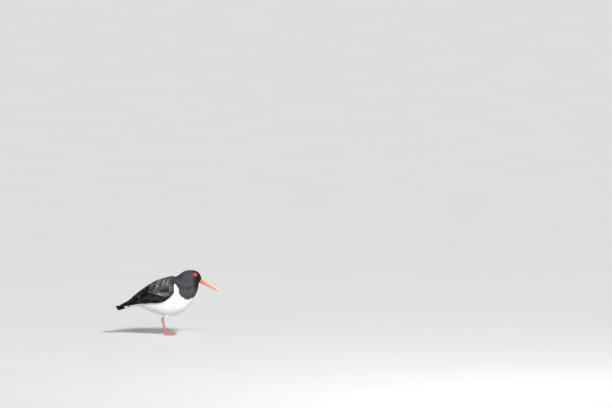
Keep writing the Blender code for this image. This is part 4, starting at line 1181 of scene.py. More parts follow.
def build_lesser(side, word):
    """Vanes that walk back from their roots, sunk at the front as the bend is, and lifted a little more where
    they close over the tiers below them."""
    stir = np.random.default_rng(19)
    surface, form = wrap_of(side), BODY_FORM
    x, angle = lesser_roots(stir)
    number = len(x)
    lengths = np.interp(x, LESSER_X[::-1], LESSER_LENGTHS) * stir.uniform(0.9, 1.1, number)
    turn = side * (LESSER_TURN + stir.normal(0, 0.06, number))
    u, v = walk(surface, -side, x, angle, lengths, form["stations"], turn)
    ahead = wing_edges(np.minimum(u, WING_FRONT))[2]
    lift = LESSER_LIFT + LESSER_MORE * step(v[:, -1], *np.radians(LESSER_MORE_FROM))
    lift = lift + stir.uniform(0, 0.0003, number)
    heights = -LESSER_SINK + (lift + LESSER_SINK)[:, None] * (1 - (1 - form["stations"]) ** 3)
    heights = heights - BEND_SINK * ahead**2
    ragged = np.zeros((number, len(form["stations"]), len(form["columns"])))
    ragged[:, -2:] = stir.uniform(-0.05, 0.04, ragged[:, -2:].shape) * lengths[:, None, None]
    half_width = LESSER_WIDTH * stir.uniform(0.9, 1.1, number)
    points = lay(surface, -side, u, v, half_width, heights, form, LESSER_CAMBER, ragged=ragged)
    flock = Flock(f"wing_lesser_{word}")
    places = np.stack([(x - LESSER_X[1]) / 0.05 + 0.02, angle / 2.6 + 0.02], axis=1)
    # wear and painted glints on the fringes, and a painted sheen that follows the same bands
    wear_and_glint = wear_and_glint_of(points[:, -2, 1])
    fringe = np.minimum(0.08 + wear_and_glint, 1) * stir.uniform(0.3, 1.0, number)
    shade, tones = 0.10 + 0.8 * wear_and_glint, stir.uniform(0, 1, number)
    flock.add(form, points, half_width, lengths, tones, places, SMALL_PATCH, shade=shade, fringe=fringe)
    return flock.build()


for side, word in SIDES:
    piece(build_lesser(side, word), feather_finish, "black_plumage")

# %% [markdown]
# The tail is a flat fan of twelve feathers with a black end on a white base. One plate with grooves would do
# from afar, but its edge would show no steps. Here the middle pair lies on top and the others step down to
# both sides, all on one sloping roof of a surface.

# %% The tail's fan
TAIL_ROOT_X, TAIL_TIP_X = -0.1240, -0.1810
TAIL_ROOT_Z, TAIL_TIP_Z = 0.1045, 0.0985
TAIL_NARROW, TAIL_WIDE = 0.0125, 0.0225
TAIL_ROOF, TAIL_ROUNDING = 0.0165, 0.0040
TAIL_HALF, TAIL_START, TAIL_BAND = 6, -0.15, 0.42
TAIL_WIDTH, TAIL_LIFT, TAIL_STEP, TAIL_FAN, TAIL_TILT = 0.0062, 0.0016, 0.00045, (0.60, 0.28), 0.0004
# the tail gets little painted sheen and hardly any fringe
TAIL_CAMBER, TAIL_PAINTED_SHEEN, TAIL_FRINGE = 0.05, 0.02, 0.03


def tail_at(share, across):
    """A point on the tail's upper face: straight from root to tip, as wide as the sine of a quarter turn
    makes it, and falling away to both sides with the square."""
    away = share * across**2
    x = TAIL_ROOT_X + (TAIL_TIP_X - TAIL_ROOT_X) * share + TAIL_ROUNDING * away
    z = TAIL_ROOT_Z + (TAIL_TIP_Z - TAIL_ROOT_Z) * share - TAIL_ROOF * away
    half = TAIL_NARROW + (TAIL_WIDE - TAIL_NARROW) * np.sin(np.clip(share, -1, 1) * np.pi / 2)
    return np.stack([x, half * across, z], axis=-1)


def build_tail():
    """Twelve quills, each a step lower than its inner neighbour and a little shorter."""
    stir = np.random.default_rng(5)
    flock = Flock("tail_feathers")
    stations = QUILL_FORM["stations"]
    for side in (1, -1):
        index = np.arange(TAIL_HALF)
        place = (index + 0.5) / TAIL_HALF
        tip_share = 1.0 - 0.018 * index * place + stir.uniform(-0.006, 0.006, TAIL_HALF)
        share = TAIL_START + (tip_share[:, None] - TAIL_START) * stations
        across = side * place[:, None] * (TAIL_FAN[0] + TAIL_FAN[1] * stations)
        lengths = (tip_share - TAIL_START) * (TAIL_ROOT_X - TAIL_TIP_X)
        half_width = np.full(TAIL_HALF, TAIL_WIDTH)
        heights = (TAIL_LIFT - TAIL_STEP * (index + 0.5 * (side < 0)))[:, None] + 0 * stations
        tilt = -side * TAIL_TILT
        points = lay(tail_at, 1, share, across, half_width, heights, QUILL_FORM, TAIL_CAMBER, tilt)
        cells = np.stack([index * 0.08 + 0.01, np.full(TAIL_HALF, 0.01 if side > 0 else 0.5)], axis=1)
        flock.add(
            QUILL_FORM, points, half_width, lengths, stir.uniform(0, 1, TAIL_HALF), cells,
            np.array([0.07, 0.45]), share < TAIL_BAND, TAIL_PAINTED_SHEEN, TAIL_FRINGE,
        )
    return flock.build()


piece(build_tail(), feather_finish, "black_plumage", "tail")

# %% [markdown]
# The tail grows from a wedge of flesh. It is never seen, but without it light would come through between the
# feathers. It could be part of the body's form, but the fan's slope is the tail's own. So the wedge is the
# tail's surface moved down by a depth that thins towards the tip and the sides.

# %% The tail's wedge of flesh
WEDGE_DEEP, WEDGE_THIN, WEDGE_REACH, WEDGE_INSET = 0.0048, 0.0018, 0.7, 0.0003
WEDGE_SHARES, WEDGE_ACROSS, WEDGE_ROWS, WEDGE_COLUMNS = (-0.30, 0.45), (-0.80, 0.80), 30, 17


def wedge_of(direction):
    """The tail's flesh above or below its quills: the tail's face moved by a depth that thins with the square
    of what is left of the wedge and towards both sides, the lower one filled level under the slopes."""

    def surface(share, across):
        taper = np.clip(share / WEDGE_REACH, 0, 1)
        depth = WEDGE_THIN + (WEDGE_DEEP - WEDGE_THIN) * (1 - taper) ** 2 * (1 - across**2)
        fill = TAIL_ROOF * np.clip(share, 0, 1) * (1 - taper**2) * (1 - across**2) * (direction < 0)
        points = tail_at(share, across)
        points[..., 2] += direction * (depth + fill)
        return points

    return surface


def build_wedge():
    """The wedge as a mesh: a face close under the quills and one close over the lower coverts, joined into a
    ring at every share."""
    share, across = np.meshgrid(
        np.linspace(*WEDGE_SHARES, WEDGE_ROWS), np.linspace(*WEDGE_ACROSS, WEDGE_COLUMNS), indexing="ij"
    )
    upper = tail_at(share, across) - [0, 0, WEDGE_THIN]
    lower = wedge_of(-1)(share, -across) + [0, 0, WEDGE_INSET]
    points = np.concatenate([upper, lower], axis=1)
    rows, columns = points.shape[:2]
    corners, sizes = grid_faces(rows, columns)
    obj = mesh_of("tail_skin", points, corners, sizes)
    flat_maps(obj, points, corners, corners // columns / rows, corners % columns / columns)
    keep_values(obj, white=1, shade=1, tone=SKIN_TONE)
    return obj


piece(build_wedge(), feather_finish, "white_plumage")

# %% [markdown]
# Coverts close the tail above and below and hide the quills' ends. They are white on both sides: the rump is
# a white patch that the folded wings nearly cover. They could walk as the coat's feathers do, but on the
# wedge straight rows are enough.

# %% The coverts round the tail's root
COVERT_SINK, COVERT_MIDDLE, COVERT_DRAW_IN, COVERT_CAMBER = 0.0016, 13, 0.10, 0.12

# name, above or below, spread across, half width, first and last root, first and last length, rows, lift
TAIL_COVERTS = (
    ("tail_coverts_under", -1, 0.80, 0.0034, (0.34, -0.30), (0.019, 0.016), 10, 0.0009),
    ("tail_coverts_over", 1, 0.50, 0.0028, (0.08, -0.40), (0.016, 0.014), 8, 0.0002),
)


def build_tail_coverts(name, direction, spread, half, roots, lengths, rows, lift):
    """Staggered rows across the wedge, each row further back, the feathers longer there."""
    stir = np.random.default_rng(23)
    flock = Flock(name)
    surface = wedge_of(direction)
    for i, (root, length) in enumerate(zip(np.linspace(*roots, rows), np.linspace(*lengths, rows))):
        count = COVERT_MIDDLE - i % 2
        across = np.linspace(-spread, spread, count) + stir.uniform(-0.05, 0.05, count)
        long = length * stir.uniform(0.92, 1.08, count)
        share = root + (long / (TAIL_ROOT_X - TAIL_TIP_X))[:, None] * BODY_FORM["stations"]
        lines = across[:, None] * (1 - COVERT_DRAW_IN * BODY_FORM["stations"])
        half_width = np.full(count, half)
        rise = np.sin(np.pi / 2 * BODY_FORM["stations"])
        heights = -COVERT_SINK + (lift + COVERT_SINK - 0.0001 * i) * rise + 0 * share
        points = lay(surface, direction, share, lines, half_width, heights, BODY_FORM, COVERT_CAMBER)
        places = np.stack([0.05 + 0.08 * i + 0 * across, 0.5 + 0.45 * across], axis=1)
        flock.add(BODY_FORM, points, half_width, long, stir.uniform(0, 1, count), places, 0.02, 1, 1)
    return flock.build()


for row in TAIL_COVERTS:
    piece(build_tail_coverts(*row), feather_finish, "white_plumage")

# %% [markdown]
# The short feathered part of each leg hangs out of the belly. Its feathers could belong to the coat, but the
# body's form has no legs to walk down. So each thigh is a tapered tube of its own, and its feathers walk down
# it and close round the top of the bare leg.

# %% The thighs
LEG_Y = 0.0240
THIGH_TOP, THIGH_TOP_Y, THIGH_END = (0.0080, 0.0900), 0.0216, (-0.0080, 0.0600)
THIGH_RADII = (0.0052, 0.0125, 0.0165)
THIGH_RINGS, THIGH_SHARES, THIGH_ROUND, THIGH_FEWER = 22, (0.95, 0.05), 56, 32
THIGH_SINK, THIGH_LIFT, THIGH_CAMBER = 0.0010, 0.0001, 0.10


def thigh_of(side):
    """A tube on a straight line, whose radius is a spline from the lower end, at 0, to the top, at 1. Its
    numbers run so that the raw normal points inwards."""
    low = np.array([THIGH_END[0], side * LEG_Y, THIGH_END[1]])
    high = np.array([THIGH_TOP[0], side * THIGH_TOP_Y, THIGH_TOP[1]])
    read_radius = spline_of((0, 0.5, 1), [[radius] for radius in THIGH_RADII])
    ahead = unit(np.cross(high - low, [0, 1.0, 0]))
    aside = unit(np.cross(ahead, high - low))

    def surface(share, angle):
        share, angle = np.broadcast_arrays(share, angle)
        out = np.cos(angle)[..., None] * ahead + np.sin(angle)[..., None] * aside
        return low + share[..., None] * (high - low) + out * read_radius(share)

    return surface


def build_thigh(side, word):
    """Staggered rings of short feathers from the belly down to the bare leg."""
    stir = np.random.default_rng(31)
    surface = thigh_of(side)
    shares, angles = [], []
    for i, share in enumerate(np.linspace(*THIGH_SHARES, THIGH_RINGS)):
        count = int(THIGH_ROUND - THIGH_FEWER * (1 - share))
        angles.append(2 * np.pi * staggered(count, i, stir, 0.2))
        shares.append(share + stir.uniform(-0.02, 0.02, count))
    share, angle = np.concatenate(shares), np.concatenate(angles)
    number = len(share)
    lengths = (0.0065 + 0.004 * share) * stir.uniform(0.9, 1.1, number)
    stations = BODY_FORM["stations"]
    u, v = walk(surface, -1, share, angle, lengths, stations, stir.normal(0, 0.08, number))
    heights = -THIGH_SINK + (THIGH_LIFT + THIGH_SINK + 0 * u) * (1 - (1 - stations) ** 3)
    half_width = 0.0009 + 0.0004 * share
    points = lay(surface, -1, u, v, half_width, heights, BODY_FORM, THIGH_CAMBER)
    places = np.stack([0.05 + 0.9 * share, 0.02 + 0.95 * (angle / (2 * np.pi) % 1)], axis=1)
    flock = Flock(f"coat_thigh_{word}")
    tones = stir.uniform(0, 1, number)
    flock.add(BODY_FORM, points, half_width, lengths, tones, places, SMALL_PATCH, 1, 1)
    return flock.build()


for side, word in SIDES:
    piece(build_thigh(side, word), feather_finish, "white_plumage")

# %% [markdown]
# Legs, toes and claws are bars of changing thickness along a line. A curve with a bevel and a taper would
# draw them, but its radius couldn't change round the bar, as plates and pads need. So rings are worked out
# along the line, each turned by a side vector that stays level, so that no bar twists.

# %% Bars along a line
BAR_SIDES, BALL_RINGS, STEEP = 28, 30, 0.7


def bar(rows, rings, bumps=lambda run, angle: 0 * run, floor=-1.0):
    """A closed tube, pressed flat at the floor. rows are x, y, z and radius, read as a spline of their order.
    A ring lies in the plane square to the line, turned by the level vector, its radius times one plus the
    bumps of place and angle."""
    read = spline_of(range(len(rows)), rows)
    place = np.linspace(0, len(rows) - 1, rings)
    row = read(place)
    line = row[:, :3]
    ahead = unit(np.gradient(line, axis=0))
    if abs(ahead[0, 2]) < STEEP:
        level = unit(np.cross(ahead, [0.001, 0, 1.0]))
    else:
        level = np.tile([0, 1.0, 0], (rings, 1))
    level = unit(level - dot(level, ahead)[:, None] * ahead)
    other = np.cross(level, ahead)
    angle = once_round(BAR_SIDES)
    run = np.concatenate([[0], np.cumsum(np.linalg.norm(np.diff(line, axis=0), axis=1))])[:, None]
    radius = row[:, 3:4] * (1 + bumps(run + 0 * angle, angle + 0 * run))
    out = np.cos(angle)[None, :, None] * level[:, None] + np.sin(angle)[None, :, None] * other[:, None]
    points = line[:, None] + out * radius[..., None]
    points[..., 2] = np.maximum(points[..., 2], floor)
    return points.reshape(-1, 3), *grid_faces(rings, BAR_SIDES, True)


def joined(name, parts):
    """Several closed surfaces in one mesh."""
    counts = np.cumsum([0] + [len(points) for points, _, _ in parts])
    corners = np.concatenate([corners + start for (_, corners, _), start in zip(parts, counts)])
    points = np.concatenate([points for points, _, _ in parts])
    return mesh_of(name, points, corners, np.concatenate([sizes for _, _, sizes in parts]))


def ball(centre, radii, floor=-1.0):
    """A closed ellipsoid: rings from pole to pole along x, each a circle of the sine of its own turn."""
    polar = np.linspace(0.02, np.pi - 0.02, BALL_RINGS)[:, None]
    angle = once_round(BAR_SIDES)
    out = np.sin(polar)
    shape = np.stack([np.cos(polar) + 0 * angle, out * np.cos(angle), out * np.sin(angle)], axis=-1)
    points = np.array(centre) + shape * np.array(radii)
    points[..., 2] = np.maximum(points[..., 2], floor)
    return points.reshape(-1, 3), *grid_faces(BALL_RINGS, BAR_SIDES, True)


print("a bar of 40 rings has", len(grid_faces(40, BAR_SIDES)[1]), "faces")

# %% [markdown]
# A wader's bare legs are pink and covered with small horny plates. They could be a painted picture. The cells
# round scattered points have the same uneven, close-set outlines, and their borders give the darker joints.

# %% The finish of bare legs
PINK, PINK_DARK, SCALE_EDGE = (0.74, 0.29, 0.25), (0.56, 0.19, 0.17), (0.46, 0.17, 0.15)
PLATES_TO_THE_METRE, PLATE_STIR, JOINT_WIDTH = 950.0, 0.7, 0.22


def leg_skin():
    """Small plates as the cells round scattered points, their joints a little darker and lower."""
    n = Nodes("leg_skin")
    fill = {"Vector": n.places(), "Scale": PLATES_TO_THE_METRE, "Randomness": PLATE_STIR}
    cells = n.add("ShaderNodeTexVoronoi", fill, feature="DISTANCE_TO_EDGE")
    plate = n.ramp(cells.outputs["Distance"], 0.0, JOINT_WIDTH)
    skin = n.mix(n.ramp(n.noise(140.0), 0.3, 0.7), PINK_DARK, PINK)
    n.set(Base_Color=n.mix(plate, SCALE_EDGE, skin), Roughness=0.45, Specular_IOR_Level=0.4)
    n.set(Subsurface_Weight=0.06, Subsurface_Scale=0.002)
    n.bump(plate, 0.6, 0.00015)
    return n.material


leg_finish = leg_skin()
print("leg skin has", len(leg_finish.node_tree.nodes), "nodes")

# %% [markdown]
# What looks like a bird's knee is its heel. Above it a short bar comes out of the feathers, below it a long
# thin one goes down to the foot, with a row of plates along its front. The plates could be a bump, but they
# show on the leg's outline, so they are in its shape.

# %% Legs
HEEL, FOOT_X, ANKLE_Z, LEG_SINK = (-0.0170, 0.0530), -0.0070, 0.0066, 0.0025
HEEL_BALL = (0.0042, 0.0039, 0.0044)
UPPER_LEG = ((-0.25, 0.0030), (0.20, 0.0028), (0.55, 0.0030), (0.85, 0.0037), (1.0, 0.0034))
LOWER_LEG = (
    (0.0, 0.0035), (0.06, 0.0040), (0.14, 0.0034), (0.28, 0.0027), (0.60, 0.0024), (0.86, 0.0028),
    (1.0, 0.0032),
)
SCUTE, SCUTE_HIGH = 0.0019, 0.045


def arches(run, length):
    """A row of low arches of a length: the root of a sine's size."""
    return np.abs(np.sin(np.pi * run / length)) ** 0.5


def scutes(run, angle):
    """Plates along the front of the leg, strongest at the front by the square of the cosine."""
    return SCUTE_HIGH * np.clip(np.cos(angle - np.pi / 2), 0, 1) ** 2 * arches(run, SCUTE)


def line_rows(start, end, profile):
    """Places and radii along a straight line, from the shares of the way that a profile lists."""
    start, end = np.array(start), np.array(end)
    return [[*(start + (end - start) * share), radius] for share, radius in profile]


def build_leg(side, word):
    """A short bar back from the thigh to the heel, a ball for the heel's joint, and a long bar down to the
    foot, thick at both ends."""
    ends = THIGH_END, HEEL, (FOOT_X, ANKLE_Z - LEG_SINK)
    thigh, heel, ankle = ((x, side * LEG_Y, z) for x, z in ends)
    upper = bar(line_rows(thigh, heel, UPPER_LEG), 40)
    lower = bar(line_rows(heel, ankle, LOWER_LEG), 150, scutes)
    return joined(f"leg_{word}", [upper, ball(heel, HEEL_BALL), lower])


print("from heel to ankle:", round(math.dist(HEEL, (FOOT_X, ANKLE_Z)), 4), "m")

# %% [markdown]
# The foot has three toes forward and none behind, pads below, plates above, and a short web between the outer
# two. Flat faces could join the finished toes. A web mixed from the two toes' own lines meets both along
# their length, whatever way they point.

# %% Feet and claws
TOE_Z, PAD, PAD_RISE, SOLE = 0.0024, (0.0052, 0.0047, 0.0038), 0.0012, 0.00002

# name, turn from straight ahead, length
TOES = (("inner", -0.60, 0.0270), ("middle", -0.05, 0.0345), ("outer", 0.50, 0.0300))
TOE_ROWS = (
    (0.0, 0.95), (0.12, 0.92), (0.22, 0.80), (0.34, 0.96), (0.50, 0.76), (0.64, 0.90), (0.80, 0.72),
    (0.92, 0.78), (0.99, 0.62), (1.02, 0.30),
)
TOE_RADIUS, TOE_TAPER, TOE_FALL, TOE_SCUTE, TOE_SCUTE_HIGH = 0.0030, 0.25, 0.010, 0.0014, 0.05
TOE_PADS, PADS_TO_THE_METRE = 0.03, 900
CLAW_LENGTH = 0.0058
CLAW_ROWS = ((-0.3, 0.0, 0.0011), (0.2, 0.0004, 0.0011), (0.6, 0.0001, 0.0008), (1.0, -0.0009, 0.0002))
WEB_REACH, WEB_HOLLOW, WEB_HALF = 0.42, 1.1, 0.0004


def toe_bumps(run, angle):
    """Plates on top and soft pads below."""
    top = np.clip(-np.sin(angle), 0, 1) ** 2
    pads = TOE_PADS * np.sin(angle) * np.sin(PADS_TO_THE_METRE * run)
    return TOE_SCUTE_HIGH * top * arches(run, TOE_SCUTE) + pads


def build_web(side, root, middle, outer):
    """A sheet mixed from both toes' lines, its free edge drawn in by a parabola, with a face on each side."""
    shares = np.linspace(0, WEB_REACH, 14)[:, None, None]
    across = np.linspace(0, 1, 9)[None, :, None]
    hollow = 1 - WEB_HOLLOW * across * (1 - across)
    sheet = root + shares * ((1 - across) * middle + across * outer) * hollow
    ring = np.concatenate([sheet + [0, 0, WEB_HALF], sheet[:, ::-1] - [0, 0, WEB_HALF]], axis=1)
    return ring.reshape(-1, 3), *grid_faces(*ring.shape[:2], side < 0)


def build_foot(side, word):
    """A rounded pad, three toes with thick and thin stretches and the web. The claws are their own mesh."""
    root = np.array([FOOT_X, side * LEG_Y, TOE_Z])
    parts, claws, ways = [ball(root + [0, 0, PAD_RISE], PAD, SOLE)], [], {}
    for toe, turn, length in TOES:
        way = np.array([math.cos(turn), side * math.sin(turn), -TOE_FALL]) * length
        radii = [(share, TOE_RADIUS * wide * (1 - TOE_TAPER * share)) for share, wide in TOE_ROWS]
        parts.append(bar(line_rows(root, root + way, radii), 90, toe_bumps, SOLE))
        tip, ahead = root + way, unit(way) * CLAW_LENGTH
        rows = [[*(tip + ahead * share + [0, 0, rise]), radius] for share, rise, radius in CLAW_ROWS]
        claws.append(bar(rows, 26))
        ways[toe] = way
    parts.append(build_web(side, root, ways["middle"], ways["outer"]))
    return joined(f"toes_{word}", parts), joined(f"claws_{word}", claws)


print("toes:", *(f"{toe} {1000 * length:.0f} mm" for toe, _, length in TOES))

# %% [markdown]
# Claws are short dark horn, a little paler where it is thin. One black would look like rubber. So two dark
# browns are mixed by noise, under a dull gloss. The same loop sets down legs, toes and claws, side by side.

# %% The claws' horn, and both legs set down
CLAW_DARK, CLAW_PALE = (0.012, 0.010, 0.009), (0.045, 0.032, 0.026)


def claw_horn():
    """Dark horn, paler in clouds."""
    n = Nodes("claw_horn")
    n.set(Base_Color=n.mix(n.noise(500.0), CLAW_DARK, CLAW_PALE), Roughness=0.35)
    return n.material


claw_finish = claw_horn()
for side, word in SIDES:
    toes, claws = build_foot(side, word)
    piece(build_leg(side, word), leg_finish, "pink_leg", f"shank_{word}")
    piece(toes, leg_finish, "pink_leg", f"foot_{word}")
    piece(claws, claw_finish, "dark_claw", *(f"claw_{toe}_{word}" for toe, _, _ in TOES))

# %% [markdown]
# The bill is long, straight and deep at its root, with a blunt tip. The nostril is a slit in a long groove of
# its upper half, and the lower half has a fainter groove. A Boolean cut would leave hard edges. Here bell
# curves of the distance from the groove's line say how deep the horn is pressed in.

# %% The bill's profile and grooves

# share of the length, half width, height from the mouth line
BILL_UPPER = (
    (-0.08, 0.0056, 0.0080), (0.00, 0.0056, 0.0080), (0.12, 0.0048, 0.0072), (0.30, 0.0038, 0.0060),
    (0.50, 0.0030, 0.0054), (0.70, 0.0025, 0.0050), (0.86, 0.0020, 0.0046), (0.95, 0.0016, 0.0039),
    (1.00, 0.0009, 0.0024),
)
BILL_LOWER = (
    (-0.08, 0.0054, 0.0068), (0.00, 0.0054, 0.0068), (0.12, 0.0047, 0.0063), (0.30, 0.0037, 0.0056),
    (0.50, 0.0029, 0.0052), (0.70, 0.0024, 0.0048), (0.86, 0.0018, 0.0042), (0.95, 0.0014, 0.0034),
    (1.00, 0.0008, 0.0020),
)
NOSTRIL, NOSTRIL_REACH, NOSTRIL_DEEP = (0.0150, 0.0026), (0.00375, 0.00050), 0.0016


def hill(value, middle, reach):
    """A smooth hill, 1 at its middle: the bell curve of the distance over the reach."""
    return np.exp(-(((value - middle) / reach) ** 2))


def upper_press(x, z):
    """How deep the upper half is pressed in: a groove that sinks towards the tip and fades at both ends, and
    the nostril's slit in it."""
    groove = 0.00045 * hill(z, 0.0030 - 0.02 * x, 0.0007) * np.clip((x - 0.003) / 0.006, 0, 1)
    groove = groove * np.clip((0.040 - x) / 0.015, 0, 1)
    slit = hill(x, NOSTRIL[0], NOSTRIL_REACH[0]) * hill(z, NOSTRIL[1], NOSTRIL_REACH[1])
    return groove + NOSTRIL_DEEP * slit


def lower_press(x, z):
    """How deep the lower half is pressed in: one level groove that fades towards the tip."""
    return 0.00035 * hill(z, 0.0024, 0.0006) * np.clip((0.045 - x) / 0.02, 0, 1)


print("the slit is", 2000 * NOSTRIL_REACH[0], "mm long and", 1000 * NOSTRIL_DEEP, "mm deep")

# %% [markdown]
# The two halves are pieces of their own, with a hair's width of dark between them. A cone cut in two would be
# too sharp and too round. So each half is carried along the bill's line ring by ring: a half oval outside,
# pressed in by its grooves, and a nearly flat face inside the mouth.

# %% The bill's two halves
BILL_RINGS, BILL_OUTER, BILL_INNER = 200, 48, 10
BILL_CROWD, BILL_SQUARE, HEIGHT_UNIT = 1.3, 0.8, 0.008
MOUTH_EDGE, MOUTH_FACE, MOUTH_ARCH, MOUTH_NARROW = 0.00012, 0.00016, 0.0006, 0.97


def build_bill(name, rows, direction, press):
    """The outer arc's height is the half's own height times the sine to a power under one, and its width the
    cosine, pressed in towards the bill's middle plane. The face inside the mouth is a low parabola."""
    rows = np.array(rows)
    share = np.linspace(0, 1, BILL_RINGS)
    share = rows[0, 0] + (1 - rows[0, 0]) * (1 - (1 - share) ** BILL_CROWD)
    half, height = (spline_of(rows[:, 0], rows[:, 1:])(share)).T
    angle = np.linspace(0, np.pi, BILL_OUTER)
    x = share[:, None] * BILL_LENGTH + 0 * angle
    y = half[:, None] * np.cos(angle)
    z = MOUTH_EDGE + height[:, None] * np.sin(angle) ** BILL_SQUARE
    y = y - np.sign(y) * np.minimum(press(x, z), np.abs(y))
    inner = np.linspace(-1, 1, BILL_INNER + 2)[1:-1]
    arch = MOUTH_ARCH * (1 - inner**2) * np.clip(height / HEIGHT_UNIT, 0, 1)[:, None]
    x = np.concatenate([x, share[:, None] * BILL_LENGTH + 0 * inner], axis=1)
    y = np.concatenate([y, half[:, None] * inner * MOUTH_NARROW], axis=1)
    z = direction * np.concatenate([z, MOUTH_FACE + arch], axis=1)
    points = bill_frame(x, y, z)
    obj = mesh_of(name, points, *grid_faces(BILL_RINGS, BILL_OUTER + BILL_INNER, direction < 0))
    value_of(obj, "reach", np.repeat(share, BILL_OUTER + BILL_INNER))
    value_of(obj, "height", (z / HEIGHT_UNIT).ravel())
    return obj


print("the bill's tip is at", bill_frame(BILL_LENGTH, 0, 0).round(4))

# %% [markdown]
# The bill's colour runs from orange at the root over salmon, partly a painted highlight, to a pale peach tip,
# redder on the lower half. Hard bands would look painted. So the colours flow with two numbers kept on the
# bill itself: the share of its length and the height from the mouth line.

# %% The bill's horn
# the salmon is partly the horn's colour and partly a painted highlight along the bill's middle
BILL_ORANGE, BILL_SALMON_HIGHLIGHT, BILL_PEACH = (0.93, 0.235, 0.042), (0.88, 0.37, 0.24), (0.86, 0.52, 0.29)
BILL_RED, BILL_ROSE = (0.84, 0.065, 0.030), (0.66, 0.200, 0.160)
SCRATCH_SCALE = (90, 1500, 1500)


def bill_horn():
    """Orange at the root, salmon along the middle, partly a painted highlight, and peach at the tip, by the
    share of the length. Below the mouth line it is red near the root and rose further on. Under a clear gloss
    lie long fine scratches, a noise drawn out along the bill."""
    n = Nodes("bill_horn")
    reach = n.number("reach")
    cloud = n.math("MULTIPLY_ADD", n.noise(60.0), 0.16, n.math("SUBTRACT", reach, 0.08))
    first = n.mix(n.ramp(cloud, 0.02, 0.42), BILL_ORANGE, BILL_SALMON_HIGHLIGHT)
    edge = n.mix(n.ramp(cloud, 0.34, 0.74), BILL_RED, BILL_ROSE)
    below = n.math("MULTIPLY", n.number("height"), -1.0)
    lower = n.math("MULTIPLY", n.ramp(below, 0.02, 0.40), 0.92)
    second = n.mix(lower, first, edge)
    third = n.mix(n.ramp(cloud, 0.70, 1.0), second, BILL_PEACH)
    fill = {"Vector": n.places(), "Rotation": (0, BILL_PITCH, 0), "Scale": SCRATCH_SCALE}
    stretched = n.add("ShaderNodeMapping", fill).outputs["Vector"]
    grain = n.add("ShaderNodeTexNoise", {"Vector": stretched}).outputs["Fac"]
    n.set(Base_Color=third, Roughness=0.32, Specular_IOR_Level=0.5, Coat_Weight=0.25, Coat_Roughness=0.2)
    n.set(Subsurface_Weight=0.08, Subsurface_Scale=0.003)
    n.bump(grain, 0.15, 0.0002)
    return n.material


bill_finish = bill_horn()
piece(build_bill("upper_bill", BILL_UPPER, 1, upper_press), bill_finish, "orange_bill", "bill_upper")
piece(build_bill("lower_bill", BILL_LOWER, -1, lower_press), bill_finish, "orange_bill", "bill_lower")

# %% [markdown]
# An eye is a glossy ball sunk in the head, with a small black dome for the pupil. Whole balls would be easy,
# but their backs would come through the thin head. So both are caps round the line of sight, closed behind by
# one more ring, and the turn from that line is kept for their colours.

# %% Eyeballs and pupils
EYE_RADIUS, EYE_DEPTH, EYE_REACH, EYE_SINK = 0.0062, 0.0043, 1.05, 0.001
PUPIL_RADIUS, PUPIL_RISE, PUPIL_SINK = 0.0021, 0.00012, 0.0006
EYE_RINGS, EYE_SIDES = 40, 64


def eye_axes(gaze):
    """The gaze and two unit vectors square to it and to each other."""
    level = unit(np.cross([0, 0, 1.0], gaze))
    return level, np.cross(gaze, level)


def dome(name, centre, gaze, radius, reach, sink):
    """A cap of a ball: rings at equal turns from the gaze out to the reach, and behind them one more ring
    drawn back by the sink, which closes it. Every point keeps its turn from the gaze."""
    level, up = eye_axes(gaze)
    polar = np.linspace(0.01, reach, EYE_RINGS)[:, None]
    angle = once_round(EYE_SIDES)
    out = np.cos(angle)[:, None] * level + np.sin(angle)[:, None] * up
    points = centre + radius * (np.cos(polar)[..., None] * gaze + np.sin(polar)[..., None] * out)
    points = np.concatenate([points, points[-1:] - gaze * sink])
    obj = mesh_of(name, points, *grid_faces(EYE_RINGS + 1, EYE_SIDES, True))
    value_of(obj, "polar", np.concatenate([polar, polar[-1:]]) + 0 * angle)
    return obj


print("the pupil is", round(PUPIL_RADIUS / EYE_RADIUS, 2), "of the eye's radius")

# %% [markdown]
# The iris is bright red with a darker rim, wet and shining, and the lids' bare rim is orange. Glass over a
# painted iris would be truer, but at this size only the shine shows. So one coated finish serves iris and
# pupil, and the lids get a duller skin with small bumps.

# %% The finish of eyes and lids
IRIS, IRIS_RIM, IRIS_CLOUDS = (0.80, 0.020, 0.008), (0.42, 0.006, 0.004), 0.25
PUPIL, PUPIL_RIM, RIM_RAMP = (0.003, 0.003, 0.003), (0.006, 0.003, 0.003), (0.40, 0.95)
LID_DARK, LID_LIGHT = (0.78, 0.050, 0.018), (0.88, 0.115, 0.030)


def eye_glass(name, inner, outer, streaks):
    """A wet, glossy surface whose colour changes with the turn from the gaze and with fine noise."""
    n = Nodes(name)
    turn = n.math("MULTIPLY_ADD", n.noise(900.0), streaks, n.number("polar"))
    n.set(Base_Color=n.mix(n.ramp(turn, *RIM_RAMP), inner, outer), Roughness=0.12, Coat_Weight=1.0)
    n.set(Coat_Roughness=0.03, Specular_IOR_Level=0.5)
    return n.material


def lid_skin():
    """Bare orange-red skin with small bumps."""
    n = Nodes("lid_skin")
    cloud = n.noise(1100.0)
    n.set(Base_Color=n.mix(cloud, LID_DARK, LID_LIGHT), Roughness=0.42)
    n.bump(cloud, 0.4, 0.0002)
    return n.material


iris_finish = eye_glass("iris", IRIS, IRIS_RIM, IRIS_CLOUDS)
pupil_finish = eye_glass("pupil", PUPIL, PUPIL_RIM, 0.0)
lid_finish = lid_skin()
print("finishes:", iris_finish.name, pupil_finish.name, lid_finish.name)

# %% [markdown]
# The lids' bare rim is a ring of fine wrinkles. A plain torus has none, and it would leave a gap where the
# head curves away. So one circle is carried round another, its tube uneven by two waves, and its lower half
# is drawn out into the head like a skirt.

# %% The lids, and both eyes set in
RING_RADIUS, RING_TUBE, RING_SINK, LID_SKIRT = 0.0056, 0.0009, 0.0004, 2.2
RING_SIDES, TUBE_SIDES = 160, 20


